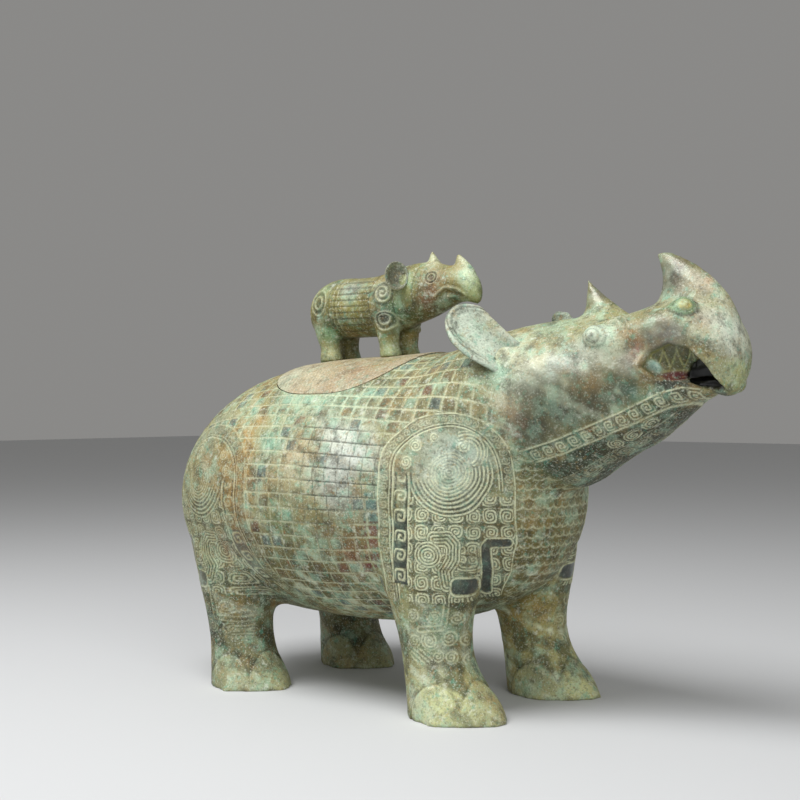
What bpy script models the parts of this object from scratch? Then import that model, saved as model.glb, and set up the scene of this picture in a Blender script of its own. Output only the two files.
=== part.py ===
"""Cast bronze wine vessel in the shape of a standing rhinoceros.

The hollow body is filled through an oval mouth in its back, which a lid closes, and
pours through the open lips. A small rhinoceros stands on the lid as its handle.
The animal looks along +X, its left is +Y, and the soles stand on Z = 0. Metres.
"""

import math
from collections import namedtuple

import bmesh
import bpy
from mathutils import Matrix, Vector
from mathutils.bvhtree import BVHTree

MM = 0.001

# Driving dimensions
WALL = 4.5 * MM
WALL_AT_LID = 9.0 * MM
NECK_WALL = 6.5 * MM
JOINT_GAP = 0.3 * MM
MIDDLE_X = 44.7 * MM
LEG_JOINT_HEIGHT = 50.0 * MM
NECK_JOINT_TOP = Vector((84.0, 0.0, 264.0)) * MM
NECK_JOINT_FOOT = Vector((158.0, 0.0, 148.0)) * MM
LID_CENTRE_X = -24.0 * MM
LID_HALF_LENGTH = 65.0 * MM
LID_HALF_WIDTH = 70.0 * MM
LID_SQUARENESS = 2.8
LID_PROUD = 1.5 * MM
LID_BELOW = 4.0 * MM
LID_CLEARANCE = 0.6 * MM
LID_LEDGE = 8.0 * MM
FLANGE_WALL = 4.0 * MM
FLANGE_DEPTH = 12.0 * MM
SPOUT_HALF_WIDTH = 11.5 * MM
SPOUT_HALF_HEIGHT = 6.0 * MM
SPOUT_LENGTH = 60.0 * MM
SPOUT_MIDDLE = Vector((232.0, 0.0, 231.0)) * MM

# Casting blanks are blended at this grain, then thinned to this share of their faces
BODY_GRAIN = 3.0 * MM
BODY_BLEND_PASSES = 7
BODY_KEPT_FACES = 0.044
CALF_GRAIN = 1.3 * MM
CALF_BLEND_PASSES = 5
CALF_KEPT_FACES = 0.042
MIRROR_MERGE = 0.01 * MM
FAR = 400.0 * MM
POST_LOW = 150.0 * MM
POST_HIGH = 300.0 * MM
OVERRUN = 10.0 * MM

# Sections, in millimetres: of the trunk and head, square to X with a top and a bottom;
# of the curved snout and jaw, square to a line tilted up from X; of legs and horns, level
Trunk = namedtuple("Trunk", "x top bottom half_width")
Bent = namedtuple("Bent", "x z half_height half_width tilt")
Level = namedtuple("Level", "z x y half_length half_width")

BARREL = (
    Trunk(-185, 150, 118, 12),
    Trunk(-182, 168, 104, 34),
    Trunk(-171, 191, 86, 60),
    Trunk(-147, 217, 67, 83),
    Trunk(-108, 236, 56, 97),
    Trunk(-55, 244, 51, 102),
    Trunk(0, 246, 51, 101),
    Trunk(45, 249, 55, 95),
    Trunk(82, 253, 64, 85),
    Trunk(112, 246, 78, 71),
    Trunk(132, 215, 94, 53),
    Trunk(142, 182, 110, 33),
    Trunk(146, 158, 125, 12),
)
NECK_AND_HEAD = (
    Trunk(40, 240, 118, 78),
    Trunk(85, 258, 130, 76),
    Trunk(118, 266, 142, 67),
    Trunk(145, 270, 151, 58),
    Trunk(167, 271, 157, 51),
    Trunk(185, 271, 169, 46),
    Trunk(203, 269, 180, 42),
    Trunk(220, 268, 191, 38),
    Trunk(238, 262, 203, 27),
)
SNOUT = (
    Bent(200, 250, 20, 40, 12),
    Bent(228, 259, 19, 37, 6),
    Bent(250, 260, 18, 33, -10),
    Bent(263.5, 252, 17, 29, -40),
    Bent(269.5, 240, 13, 25, -65),
    Bent(271, 228, 9, 19, -78),
    Bent(270.5, 216, 4, 9, -88),
)
LOWER_JAW = (
    Bent(200, 200, 20, 39, 25),
    Bent(225, 214, 15.5, 34, 28),
    Bent(243, 221, 9, 28, 25),
    Bent(254, 222, 6, 20, 12),
    Bent(260, 221.5, 4, 12, 0),
)
GUMS = (
    Bent(215, 226, 18, 28, 0),
    Bent(232, 235, 15, 25, 0),
    Bent(247, 236, 12, 20.5, 0),
    Bent(258, 232, 10, 16, 0),
)
FRONT_LEG = (
    Level(-6, 97, 58, 36, 29),
    Level(6, 97, 58, 36, 29.5),
    Level(18, 91, 58, 31, 27.5),
    Level(36, 83, 58, 26, 25),
    Level(56, 79, 58, 26, 26),
    Level(82, 77, 59, 33, 28),
    Level(122, 72, 62, 42, 27),
    Level(170, 68, 64, 30, 18),
)
REAR_LEG = (
    Level(-6, -96, 61, 32, 28),
    Level(6, -96, 61, 32, 28.5),
    Level(18, -101, 61, 28, 26),
    Level(36, -105, 61, 24.5, 24.5),
    Level(56, -108, 61, 26, 26),
    Level(82, -110, 61, 34, 27),
    Level(122, -112, 60, 44, 27),
    Level(170, -108, 62, 34, 18),
)
NOSE_HORN = (
    Level(260, 242, 0, 36, 28),
    Level(268, 243.5, 0, 32.5, 22),
    Level(277, 245.5, 0, 27, 15),
    Level(286, 244, 0, 22.5, 11),
    Level(296, 239, 0, 17, 8),
    Level(304, 232, 0, 12.5, 5.5),
    Level(310, 224.5, 0, 7.5, 3.5),
    Level(313, 219.5, 0, 3, 1.6),
)
BROW_HORN = (
    Level(260, 184, 0, 21, 13),
    Level(269, 182, 0, 19, 11),
    Level(278, 176, 0, 12.5, 7.5),
    Level(288, 169.5, 0, 6, 4),
    Level(297, 165, 0, 1.6, 1.3),
)
TAIL = (
    Level(186, -172.5, 0, 6, 7),
    Level(176, -178.5, 0, 6, 6.5),
    Level(160, -184.5, 0, 5.5, 6),
    Level(140, -187, 0, 5, 5.5),
    Level(122, -186.5, 0, 4.5, 5.5),
    Level(110, -184.5, 0, 2, 2.5),
)
CALF_TRUNK = (
    Trunk(-81, 288, 272, 6),
    Trunk(-79, 296, 266, 13),
    Trunk(-72, 303, 262, 19.5),
    Trunk(-56, 308, 262, 23),
    Trunk(-30, 308, 262, 23.5),
    Trunk(-8, 310, 263, 22),
    Trunk(6, 314, 267, 19),
    Trunk(18, 316, 271, 16.5),
    Trunk(32, 316, 275, 15),
    Trunk(44, 313.5, 280, 13),
    Trunk(56, 311, 285, 11),
    Trunk(66, 308, 285, 8.5),
    Trunk(72, 303, 283, 6),
    Trunk(75, 296, 285, 2.5),
)
CALF_FRONT_LEG = (
    Level(232, 1, 11, 10, 8.5),
    Level(247, 1, 11, 9.5, 8.5),
    Level(254, -1, 11, 7.5, 7.5),
    Level(264, -2, 11.5, 9, 8.5),
    Level(280, -4, 13, 12, 8),
)
CALF_REAR_LEG = (
    Level(232, -59, 11, 9.5, 8.5),
    Level(247, -59, 11, 9, 8.5),
    Level(254, -60, 11, 7.5, 7.5),
    Level(264, -62, 11.5, 10, 8.5),
    Level(280, -62, 13, 14, 8),
)
CALF_NOSE_HORN = (
    Level(302, 60, 0, 12, 6.5),
    Level(309, 59.5, 0, 9.5, 5),
    Level(315, 57.5, 0, 5.5, 3),
    Level(321, 54.5, 0, 1.3, 1.1),
)
CALF_BROW_HORN = (
    Level(311, 33, 0, 6.5, 5),
    Level(316, 32.5, 0, 5, 3.8),
    Level(320, 31.5, 0, 3, 2.4),
    Level(324.5, 30.5, 0, 1, 0.9),
)
CALF_TAIL = (
    Level(297, -77, 0, 3, 3.2),
    Level(291, -80.5, 0, 3, 3),
    Level(282, -82.5, 0, 2.6, 2.6),
    Level(273, -82.5, 0, 1.4, 1.5),
)

# The line of the open lips, seen from the side, and how deep the hollow between them is
MOUTH = (
    (227, 236), (232, 244), (243, 249), (255, 246), (265, 237), (272, 224), (262, 226), (250, 229), (236, 230)
)
LIP_DEPTH_AT_CORNER = 29.0
LIP_TAPER = 0.42
MOUTH_REACH = 40.0 * MM

# Eyes and nostrils swell from the head, and three toes from each foot
HEAD_BOSSES = ((193, 36, 256, 9.5), (250, 24, 273, 9.0))
TOE_TURNS = (-80, 0, 80)
TOE_RADIUS = 11.0
TOE_REACH = 0.4

# An ear is a scoop: its root, inside the head, its tip, which way the scoop opens, and its sizes.
# It narrows to this share at the root, and its tip is rounded over this share of its length
Ear = namedtuple("Ear", "root tip opens half_width cup sag thickness")
EAR = Ear((142, 39, 236), (94, 63, 276), (0.45, 0.80, 0.42), 16.5, 8.5, 6.0, 4.5)
CALF_EAR = Ear((19, 11, 293), (10, 20, 316), (0.66, 0.66, 0.26), 8.5, 4.5, 1.0, 2.6)
EAR_ROOT_SHARE = 0.55
EAR_TIP_SHARE = 0.28

# Cast panels on shoulders and haunches: their centre, which way they face from +X towards the side,
# and whether their forward edge points ahead or back; their border, across and up from the centre
Panel = namedtuple("Panel", "x y z facing ahead")
Spot = namedtuple("Spot", "across up")
SHOULDER_PANEL = Panel(105, 75, 166, 60, 1)
HAUNCH_PANEL = Panel(-105, 75, 156, 127, -1)
PANEL_BORDER = (
    Spot(-42, -68), Spot(-46, -44), Spot(-48, -20), Spot(-50, 0), Spot(-45, 19), Spot(-33, 33),
    Spot(-17, 41.5), Spot(0, 44), Spot(17, 40), Spot(31, 29), Spot(40, 13), Spot(42, -4), Spot(39, -30),
    Spot(36, -50),
)
RIDGE_PROFILE = ((-2.4, -2.0), (-1.2, 0.8), (1.2, 0.8), (2.4, -2.0))
ROUNDEL_RADIUS = 12.0
ROUNDEL_PROUD = 0.8
ROUNDEL_DEPTH = 3.0

BRONZE = (0.20, 0.24, 0.15, 1.0)
DARK_BRONZE = (0.12, 0.12, 0.09, 1.0)
PALE_BRONZE = (0.30, 0.30, 0.20, 1.0)

for old in list(bpy.data.objects):
    bpy.data.objects.remove(old)

PARTS = bpy.data.collections.new("rhinoceros_vessel")
CUTTERS = bpy.data.collections.new("cutters")
for group in (PARTS, CUTTERS):
    bpy.context.scene.collection.children.link(group)


def finish(name, colour, roughness=0.5):
    """A bronze surface of one colour."""
    material = bpy.data.materials.new(name)
    material.use_nodes = True
    shader = material.node_tree.nodes["Principled BSDF"]
    shader.inputs["Base Color"].default_value = colour
    shader.inputs["Roughness"].default_value = roughness
    shader.inputs["Metallic"].default_value = 0.6
    return material


GREEN_PATINA = finish("green_patina", BRONZE)
DARK_PATINA = finish("dark_patina", DARK_BRONZE, 0.35)
PALE_PATINA = finish("pale_patina", PALE_BRONZE, 0.6)


def place(name, mesh, material=None):
    """A piece in the parts' collection, or a cutter where no material is given."""
    piece = bpy.data.objects.new(name, mesh)
    if material:
        PARTS.objects.link(piece)
        mesh.materials.clear()
        mesh.materials.append(material)
        mesh.shade_smooth()
        mesh.set_sharp_from_angle(angle=math.radians(40))
    else:
        CUTTERS.objects.link(piece)
        piece.hide_render = True
        piece.display_type = "WIRE"
    return piece


def cut(piece, cutter, operation="DIFFERENCE"):
    """Cuts or joins a piece with another closed solid."""
    boolean = piece.modifiers.new(operation.lower(), "BOOLEAN")
    boolean.operation = operation
    boolean.object = cutter
    return piece


def settled(piece):
    """The mesh of a piece with its modifiers carried out."""
    graph = bpy.context.evaluated_depsgraph_get()
    return bpy.data.meshes.new_from_object(piece.evaluated_get(graph))


def between(sections, steps):
    """Sections on a smooth curve through the given ones, with steps from one to the next."""
    last = len(sections) - 1
    for i in range(last):
        before, start, end, after = (sections[max(0, min(last, i + k))] for k in (-1, 0, 1, 2))
        for step in range(steps + (i == last - 1)):
            t = step / steps
            yield type(start)(*(
                b + 0.5 * t * ((c - a) + t * ((2 * a - 5 * b + 4 * c - d) + t * (3 * (b - c) + d - a)))
                for a, b, c, d in zip(before, start, end, after)
            ))


def ring_frame(section):
    """Centre, sideways and upward half axes of a section, in millimetres."""
    if isinstance(section, Trunk):
        centre = Vector((section.x, 0, (section.top + section.bottom) / 2))
        up = Vector((0, 0, (section.top - section.bottom) / 2))
    elif isinstance(section, Bent):
        tilt = math.radians(section.tilt)
        centre = Vector((section.x, 0, section.z))
        up = Vector((-math.sin(tilt), 0, math.cos(tilt))) * section.half_height
    else:
        centre = Vector((section.x, section.y, section.z))
        up = Vector((section.half_length, 0, 0))
    return centre, Vector((0, section.half_width, 0)), up


def drawn_in(sections, inset, inset_top=None):
    """Trunk sections moved inwards by a wall's thickness, or outwards where it is negative."""
    inset = inset / MM
    inset_top = inset if inset_top is None else inset_top / MM
    middle = (sections[0].x + sections[-1].x) / 2
    shorten = 1 - inset / (sections[-1].x - middle)
    return [
        Trunk(
            middle + (section.x - middle) * shorten,
            max(section.top - inset_top, (section.top + section.bottom) / 2 + 2),
            min(section.bottom + inset, (section.top + section.bottom) / 2 - 2),
            max(section.half_width - inset, 2),
        )
        for section in sections
    ]


def loft(mesh_builder, sections, sides=28, steps=3, mirror=False):
    """Skins a run of elliptical sections, given in millimetres, and closes both ends."""
    rings = []
    for section in between(sections, steps):
        centre, across, up = ring_frame(section)
        if mirror:
            centre.y = -centre.y
        turns = [2 * math.pi * i / sides for i in range(sides)]
        rings.append([
            mesh_builder.verts.new((centre + across * math.cos(turn) + up * math.sin(turn)) * MM)
            for turn in turns
        ])
    loops = []
    for ring in rings:
        loops.append([mesh_builder.edges.new((ring[i - 1], ring[i])) for i in range(sides)])
    for loop, following in zip(loops, loops[1:]):
        bmesh.ops.bridge_loops(mesh_builder, edges=loop + following)
    for ring in (rings[0], rings[-1]):
        mesh_builder.faces.new(ring)
    return mesh_builder


def mesh_from(mesh_builder, name):
    """A mesh with its faces turned outwards."""
    mesh_builder.normal_update()
    bmesh.ops.recalc_face_normals(mesh_builder, faces=mesh_builder.faces)
    mesh = bpy.data.meshes.new(name)
    mesh_builder.to_mesh(mesh)
    mesh_builder.free()
    return mesh


def lofted(name, sections, **options):
    """The mesh of a single loft."""
    return mesh_from(loft(bmesh.new(), sections, **options), name)


def boss(mesh_builder, centre, radius):
    """A ball, half sunk into the casting blank."""
    middle = Matrix.Translation(Vector(centre) * MM)
    bmesh.ops.create_uvsphere(mesh_builder, u_segments=16, v_segments=10, radius=radius * MM, matrix=middle)


def blended(name, mesh_builder, grain, passes, kept):
    """Melts overlapping lofts into one casting blank with filleted junctions."""
    blank = place(name, mesh_from(mesh_builder, name))
    remesh = blank.modifiers.new("blend", "REMESH")
    remesh.mode = "VOXEL"
    remesh.voxel_size = grain
    smooth = blank.modifiers.new("fillet", "SMOOTH")
    smooth.factor = 0.5
    smooth.iterations = passes
    thin = blank.modifiers.new("thin", "DECIMATE")
    thin.ratio = kept
    halves = blank.modifiers.new("halves", "MIRROR")
    halves.use_axis = (False, True, False)
    halves.use_bisect_axis = (False, True, False)
    halves.merge_threshold = MIRROR_MERGE
    mesh = settled(blank)
    bpy.data.objects.remove(blank)
    return mesh


def swollen(mesh, name, distance):
    """A cutter that stands off a mesh by a small distance."""
    cutter = place(name, mesh.copy())
    displace = cutter.modifiers.new("stand_off", "DISPLACE")
    displace.strength = distance
    displace.mid_level = 0.0
    return cutter


def block(name, low, high, frame=None):
    """A box between two corners, in a frame of its own."""
    builder = bmesh.new()
    low, high = Vector(low), Vector(high)
    size = Matrix.Diagonal((*(high - low), 1.0))
    bmesh.ops.create_cube(builder, size=1.0, matrix=Matrix.Translation((low + high) / 2) @ size)
    if frame:
        builder.transform(frame)
    return place(name, mesh_from(builder, name))


def oval_post(name, half_length, half_width, low=POST_LOW, high=POST_HIGH, sides=48):
    """An upright prism on the lid's centre, with the lid's squarish oval for its outline."""
    builder = bmesh.new()
    middle = Matrix.Translation((0.0, 0.0, (low + high) / 2)) @ Matrix.Rotation(math.pi / sides, 4, "Z")
    bmesh.ops.create_cone(
        builder, cap_ends=True, segments=sides, radius1=1.0, radius2=1.0, depth=high - low, matrix=middle
    )
    power = 2 / LID_SQUARENESS
    for vertex in builder.verts:
        x, y, z = vertex.co
        vertex.co.x = LID_CENTRE_X + half_length * math.copysign(abs(x) ** power, x)
        vertex.co.y = half_width * math.copysign(abs(y) ** power, y)
    return place(name, mesh_from(builder, name))


def back_solid(name, inset, material=None):
    """The trunk alone, drawn in or swollen, whose back is the lid's curve."""
    return place(name, lofted(name, drawn_in(BARREL, inset), steps=2), material)


# Casting blank of the whole animal, without ears, horns and tail
animal = bmesh.new()
loft(animal, BARREL)
loft(animal, NECK_AND_HEAD)
loft(animal, SNOUT)
loft(animal, LOWER_JAW)
loft(animal, GUMS)
for leg in (FRONT_LEG, REAR_LEG):
    for mirror in (False, True):
        loft(animal, leg, mirror=mirror)
for side in (1, -1):
    for x, y, z, radius in HEAD_BOSSES:
        boss(animal, (x, side * y, z), radius)
    for sole in (FRONT_LEG[1], REAR_LEG[1]):
        for turn in TOE_TURNS:
            angle = math.radians(turn)
            x = sole.x + (sole.half_length - TOE_RADIUS * (1 - TOE_REACH)) * math.cos(angle)
            y = sole.y + (sole.half_width - TOE_RADIUS * (1 - TOE_REACH)) * math.sin(angle)
            boss(animal, (x, side * y, 0.0), TOE_RADIUS)
animal_mesh = blended("animal_blank", animal, BODY_GRAIN, BODY_BLEND_PASSES, BODY_KEPT_FACES)
animal_stand_off = swollen(animal_mesh, "animal_stand_off", JOINT_GAP)

# The neck joint is one slanting plane from behind the ears to the chest
joint_down = (NECK_JOINT_FOOT - NECK_JOINT_TOP).normalized()
joint_out = Vector((-joint_down.z, 0.0, joint_down.x))
neck_frame = Matrix.Translation(NECK_JOINT_TOP) @ Matrix((
    (joint_out.x, 0.0, joint_down.x, 0.0),
    (0.0, -1.0, 0.0, 0.0),
    (joint_out.z, 0.0, joint_down.z, 0.0),
    (0.0, 0.0, 0.0, 1.0),
))
ahead_of_neck = block("ahead_of_neck", (0, -FAR, -FAR), (FAR, FAR, FAR), neck_frame)
beyond_neck_gap = block("beyond_neck_gap", (JOINT_GAP, -FAR, -FAR), (FAR, FAR, FAR), neck_frame)
below_body = block("below_body", (-FAR, -FAR, -FAR), (FAR, FAR, LEG_JOINT_HEIGHT + JOINT_GAP))

# Inner hollows: the belly, the throat and the spout between the lips
belly = drawn_in(BARREL, WALL, WALL_AT_LID)
belly_core = place("belly_core", lofted("belly_core", belly, sides=20, steps=1))
throat = drawn_in(NECK_AND_HEAD[:-1], NECK_WALL)
throat_core = place("throat_core", lofted("throat_core", throat, sides=16, steps=1))
spout = bmesh.new()
bmesh.ops.create_cone(
    spout, cap_ends=True, segments=20, radius1=1.0, radius2=1.0, depth=1.0,
    matrix=Matrix.Translation(SPOUT_MIDDLE)
    @ Matrix.Rotation(math.radians(90), 4, "Y")
    @ Matrix.Diagonal((SPOUT_HALF_HEIGHT, SPOUT_HALF_WIDTH, SPOUT_LENGTH, 1.0)),
)
spout_core = place("spout_core", mesh_from(spout, "spout_core"))


def mouth_corner(side):
    """The almond-shaped hollow between the lips on one side, cut in towards the middle."""
    builder = bmesh.new()
    inner = [
        builder.verts.new(Vector((x, side * (LIP_DEPTH_AT_CORNER - LIP_TAPER * (x - MOUTH[0][0])), z)) * MM)
        for x, z in MOUTH
    ]
    extruded = bmesh.ops.extrude_face_region(builder, geom=[builder.faces.new(inner)])["geom"]
    outer = [item for item in extruded if isinstance(item, bmesh.types.BMVert)]
    bmesh.ops.translate(builder, verts=outer, vec=(0.0, side * MOUTH_REACH, 0.0))
    return place("mouth_corner", mesh_from(builder, "mouth_corner"))


def panel_relief(name, panel, side, skin):
    """The raised border and the roundel of one cast panel, laid on the casting's skin."""
    facing = math.radians(panel.facing)
    outwards = Vector((math.cos(facing), side * math.sin(facing), 0.0))
    across = Vector((math.sin(facing), -side * math.cos(facing), 0.0)) * panel.ahead
    centre = Vector((panel.x, side * panel.y, panel.z))

    def on_skin(spot):
        start = centre + across * spot.across + Vector((0.0, 0.0, spot.up))
        return skin.ray_cast((start * MM) + outwards * FAR, -outwards)[:2]

    builder = bmesh.new()
    path = [on_skin(spot) for spot in between(PANEL_BORDER, 2)]
    rings = []
    for i, (point, normal) in enumerate(path):
        ahead = path[min(i + 1, len(path) - 1)][0] - path[max(i - 1, 0)][0]
        sideways = normal.cross(ahead).normalized()
        rings.append([
            builder.verts.new(point + (sideways * offset + normal * rise) * MM)
            for offset, rise in RIDGE_PROFILE
        ])
    for ring, following in zip(rings, rings[1:]):
        for i in range(len(ring)):
            builder.faces.new((ring[i - 1], ring[i], following[i], following[i - 1]))
    for ring in (rings[0], rings[-1]):
        builder.faces.new(ring)
    point, normal = on_skin(Spot(0, 0))
    middle = point + normal * (ROUNDEL_PROUD - ROUNDEL_DEPTH / 2) * MM
    bmesh.ops.create_cone(
        builder, cap_ends=True, segments=24, depth=ROUNDEL_DEPTH * MM,
        radius1=ROUNDEL_RADIUS * MM, radius2=(ROUNDEL_RADIUS - ROUNDEL_PROUD) * MM,
        matrix=Matrix.Translation(middle) @ normal.to_track_quat("Z", "Y").to_matrix().to_4x4(),
    )
    return place(name, mesh_from(builder, name))


# Body shell, open at the neck and under the lid
seat_cut = oval_post("seat_cut", LID_HALF_LENGTH + LID_CLEARANCE, LID_HALF_WIDTH + LID_CLEARANCE)
cut(seat_cut, back_solid("ledge_solid", LID_BELOW + JOINT_GAP))
mouth_cut = oval_post("mouth_cut", LID_HALF_LENGTH - LID_LEDGE, LID_HALF_WIDTH - LID_LEDGE)
body_shell = place("body_shell", animal_mesh.copy(), GREEN_PATINA)
animal_skin = BVHTree.FromPolygons(
    [vertex.co for vertex in animal_mesh.vertices], [face.vertices for face in animal_mesh.polygons]
)
for name, panel in (("shoulder", SHOULDER_PANEL), ("haunch", HAUNCH_PANEL)):
    for side in (1, -1):
        cut(body_shell, panel_relief(f"{name}_relief", panel, side, animal_skin), "UNION")
for cutter in (ahead_of_neck, below_body, belly_core, throat_core, seat_cut, mouth_cut):
    cut(body_shell, cutter)

# Head and neck, with the throat leading to the spout
head = place("head", animal_mesh.copy(), DARK_PATINA)
cut(head, beyond_neck_gap, "INTERSECT")
cut(head, throat_core)
cut(head, spout_core)
for side in (1, -1):
    cut(head, mouth_corner(side))

# Legs, cut level above the knees and flat at the soles
for end, x_low, x_high in (("front", 0.0, FAR), ("rear", -FAR, 0.0)):
    for side, y_low, y_high in (("left", 0.0, FAR), ("right", -FAR, 0.0)):
        reach = block(f"{end}_{side}_reach", (x_low, y_low, 0.0), (x_high, y_high, LEG_JOINT_HEIGHT))
        cut(place(f"leg_{end}_{side}", animal_mesh.copy(), GREEN_PATINA), reach, "INTERSECT")


def ear_mesh(name, ear, side):
    """A scoop with a rounded tip, whose root runs into the head."""
    root, tip, opens = (Vector((v[0], side * v[1], v[2])) for v in ear[:3])
    along = tip - root
    opens = (opens - along * opens.dot(along) / along.length_squared).normalized()
    across = opens.cross(along).normalized()
    builder = bmesh.new()
    bmesh.ops.create_grid(builder, x_segments=10, y_segments=6, size=1.0)
    for vertex in builder.verts:
        u, v = (vertex.co.x + 1) / 2, vertex.co.y
        width = ear.half_width * (EAR_ROOT_SHARE + (1 - EAR_ROOT_SHARE) * math.sin(math.pi / 2 * u))
        u *= 1 - EAR_TIP_SHARE * (1 - math.sqrt(1 - min(v * v, 0.96)))
        bend = Vector((0.0, 0.0, -ear.sag)) * math.sin(math.pi * u)
        vertex.co = (root + along * u + across * width * v + opens * ear.cup * v * v + bend) * MM
    leaf = place(name + "_leaf", mesh_from(builder, name))
    solidify = leaf.modifiers.new("thickness", "SOLIDIFY")
    solidify.thickness = ear.thickness * MM
    solidify.offset = 0.0
    mesh = settled(leaf)
    bpy.data.objects.remove(leaf)
    return mesh


for side, sign in (("left", 1), ("right", -1)):
    cut(place(f"ear_{side}", ear_mesh(f"ear_{side}", EAR, sign), PALE_PATINA), animal_stand_off)

# Horns and tail are closed lofts, cut to seat on the casting
for name, sections, material in (
    ("nose_horn", NOSE_HORN, DARK_PATINA),
    ("brow_horn", BROW_HORN, DARK_PATINA),
    ("tail", TAIL, GREEN_PATINA),
):
    cut(place(name, lofted(name, sections, sides=16, steps=2), material), animal_stand_off)

# Lid: a curved panel of the back with a flange that drops inside the mouth
lid_plate = back_solid("lid_plate", -LID_PROUD, PALE_PATINA)
cut(lid_plate, oval_post("lid_edge", LID_HALF_LENGTH, LID_HALF_WIDTH), "INTERSECT")
flange_length = LID_HALF_LENGTH - LID_LEDGE - LID_CLEARANCE
flange_width = LID_HALF_WIDTH - LID_LEDGE - LID_CLEARANCE
flange = oval_post("flange", flange_length, flange_width)
bore_length, bore_width = flange_length - FLANGE_WALL, flange_width - FLANGE_WALL
cut(flange, oval_post("flange_inside", bore_length, bore_width, POST_LOW - OVERRUN, POST_HIGH + OVERRUN))
cut(flange, back_solid("below_flange", LID_BELOW + FLANGE_DEPTH))
cut(lid_plate, cut(back_solid("below_lid", LID_BELOW), flange))

# Calf on the lid, with its own ears, horns and tail
calf = bmesh.new()
loft(calf, CALF_TRUNK, sides=24)
for leg in (CALF_FRONT_LEG, CALF_REAR_LEG):
    for mirror in (False, True):
        loft(calf, leg, sides=20, mirror=mirror)
calf_mesh = blended("calf_blank", calf, CALF_GRAIN, CALF_BLEND_PASSES, CALF_KEPT_FACES)
calf_stand_off = swollen(calf_mesh, "calf_stand_off", JOINT_GAP)
cut(place("calf", calf_mesh, GREEN_PATINA), back_solid("lid_stand_off", -LID_PROUD - JOINT_GAP))
for side, sign in (("left", 1), ("right", -1)):
    name = f"calf_ear_{side}"
    cut(place(name, ear_mesh(name, CALF_EAR, sign), PALE_PATINA), calf_stand_off)
for name, sections in (
    ("calf_nose_horn", CALF_NOSE_HORN),
    ("calf_brow_horn", CALF_BROW_HORN),
    ("calf_tail", CALF_TAIL),
):
    cut(place(name, lofted(name, sections, sides=12, steps=2), GREEN_PATINA), calf_stand_off)

# The frame's origin lies under the middle of the whole vessel, and the lid lifts from its centre
vessel_frame = bpy.data.objects.new("vessel_frame", None)
vessel_frame.location.x = -MIDDLE_X
lid_lift = bpy.data.objects.new("lid_lift", None)
lid_lift.parent = vessel_frame
lid_lift.location = (LID_CENTRE_X, 0.0, BARREL[6].top * MM)
for empty in (vessel_frame, lid_lift):
    PARTS.objects.link(empty)
for piece in list(PARTS.objects) + list(CUTTERS.objects):
    if piece.type != "MESH":
        continue
    if piece.name.startswith(("lid_plate", "calf")):
        piece.parent = lid_lift
        piece.location = -lid_lift.location
    else:
        piece.parent = vessel_frame
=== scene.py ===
import math

import bmesh
import bpy
import numpy as np
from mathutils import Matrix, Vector


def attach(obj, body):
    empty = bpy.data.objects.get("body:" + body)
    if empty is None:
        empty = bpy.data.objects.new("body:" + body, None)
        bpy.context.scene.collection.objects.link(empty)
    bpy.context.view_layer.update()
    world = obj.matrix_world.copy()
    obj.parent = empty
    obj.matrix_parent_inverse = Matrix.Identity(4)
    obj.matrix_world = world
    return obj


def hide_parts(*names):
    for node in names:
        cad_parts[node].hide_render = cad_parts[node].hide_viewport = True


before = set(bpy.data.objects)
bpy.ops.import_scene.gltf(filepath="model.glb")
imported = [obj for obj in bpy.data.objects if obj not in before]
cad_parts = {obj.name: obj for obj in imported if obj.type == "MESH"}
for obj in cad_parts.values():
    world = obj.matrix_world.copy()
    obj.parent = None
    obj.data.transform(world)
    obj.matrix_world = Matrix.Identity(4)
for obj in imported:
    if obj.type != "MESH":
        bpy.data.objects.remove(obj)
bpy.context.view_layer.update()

# The studio: a plain pale floor that runs back out of sight, a soft lamp overhead at the left and a
# weaker one in front, and the camera fitted to the photograph, level and near the animal's right cheek.
FLOOR_SIZE = 6.0
FLOOR_COLOUR = (0.62, 0.63, 0.64, 1.0)
FLOOR_ROUGHNESS = 0.7
SKY_COLOUR = (0.75, 0.74, 0.72, 1.0)
SKY_STRENGTH = 0.34
CAMERA_PLACE = (0.6688, -0.8633, 0.2148)
CAMERA_TURN = 0.6907
CAMERA_LENS = 67.5

floor_builder = bmesh.new()
bmesh.ops.create_grid(floor_builder, x_segments=1, y_segments=1, size=FLOOR_SIZE)
floor_mesh = bpy.data.meshes.new("floor")
floor_builder.to_mesh(floor_mesh)
floor_builder.free()
floor_material = bpy.data.materials.new("floor")
floor_material.use_nodes = True
floor_shader = floor_material.node_tree.nodes["Principled BSDF"]
floor_shader.inputs["Base Color"].default_value = FLOOR_COLOUR
floor_shader.inputs["Roughness"].default_value = FLOOR_ROUGHNESS
floor_mesh.materials.append(floor_material)
floor = bpy.data.objects.new("floor", floor_mesh)
bpy.context.collection.objects.link(floor)


def soft_lamp(name, place, aim, size, power):
    """A square studio lamp turned towards a point on the object."""
    light = bpy.data.lights.new(name, "AREA")
    light.size = size
    light.energy = power
    lamp = bpy.data.objects.new(name, light)
    lamp.location = place
    lamp.rotation_euler = (Vector(aim) - Vector(place)).to_track_quat("-Z", "Y").to_euler()
    bpy.context.collection.objects.link(lamp)
    return lamp


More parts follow.
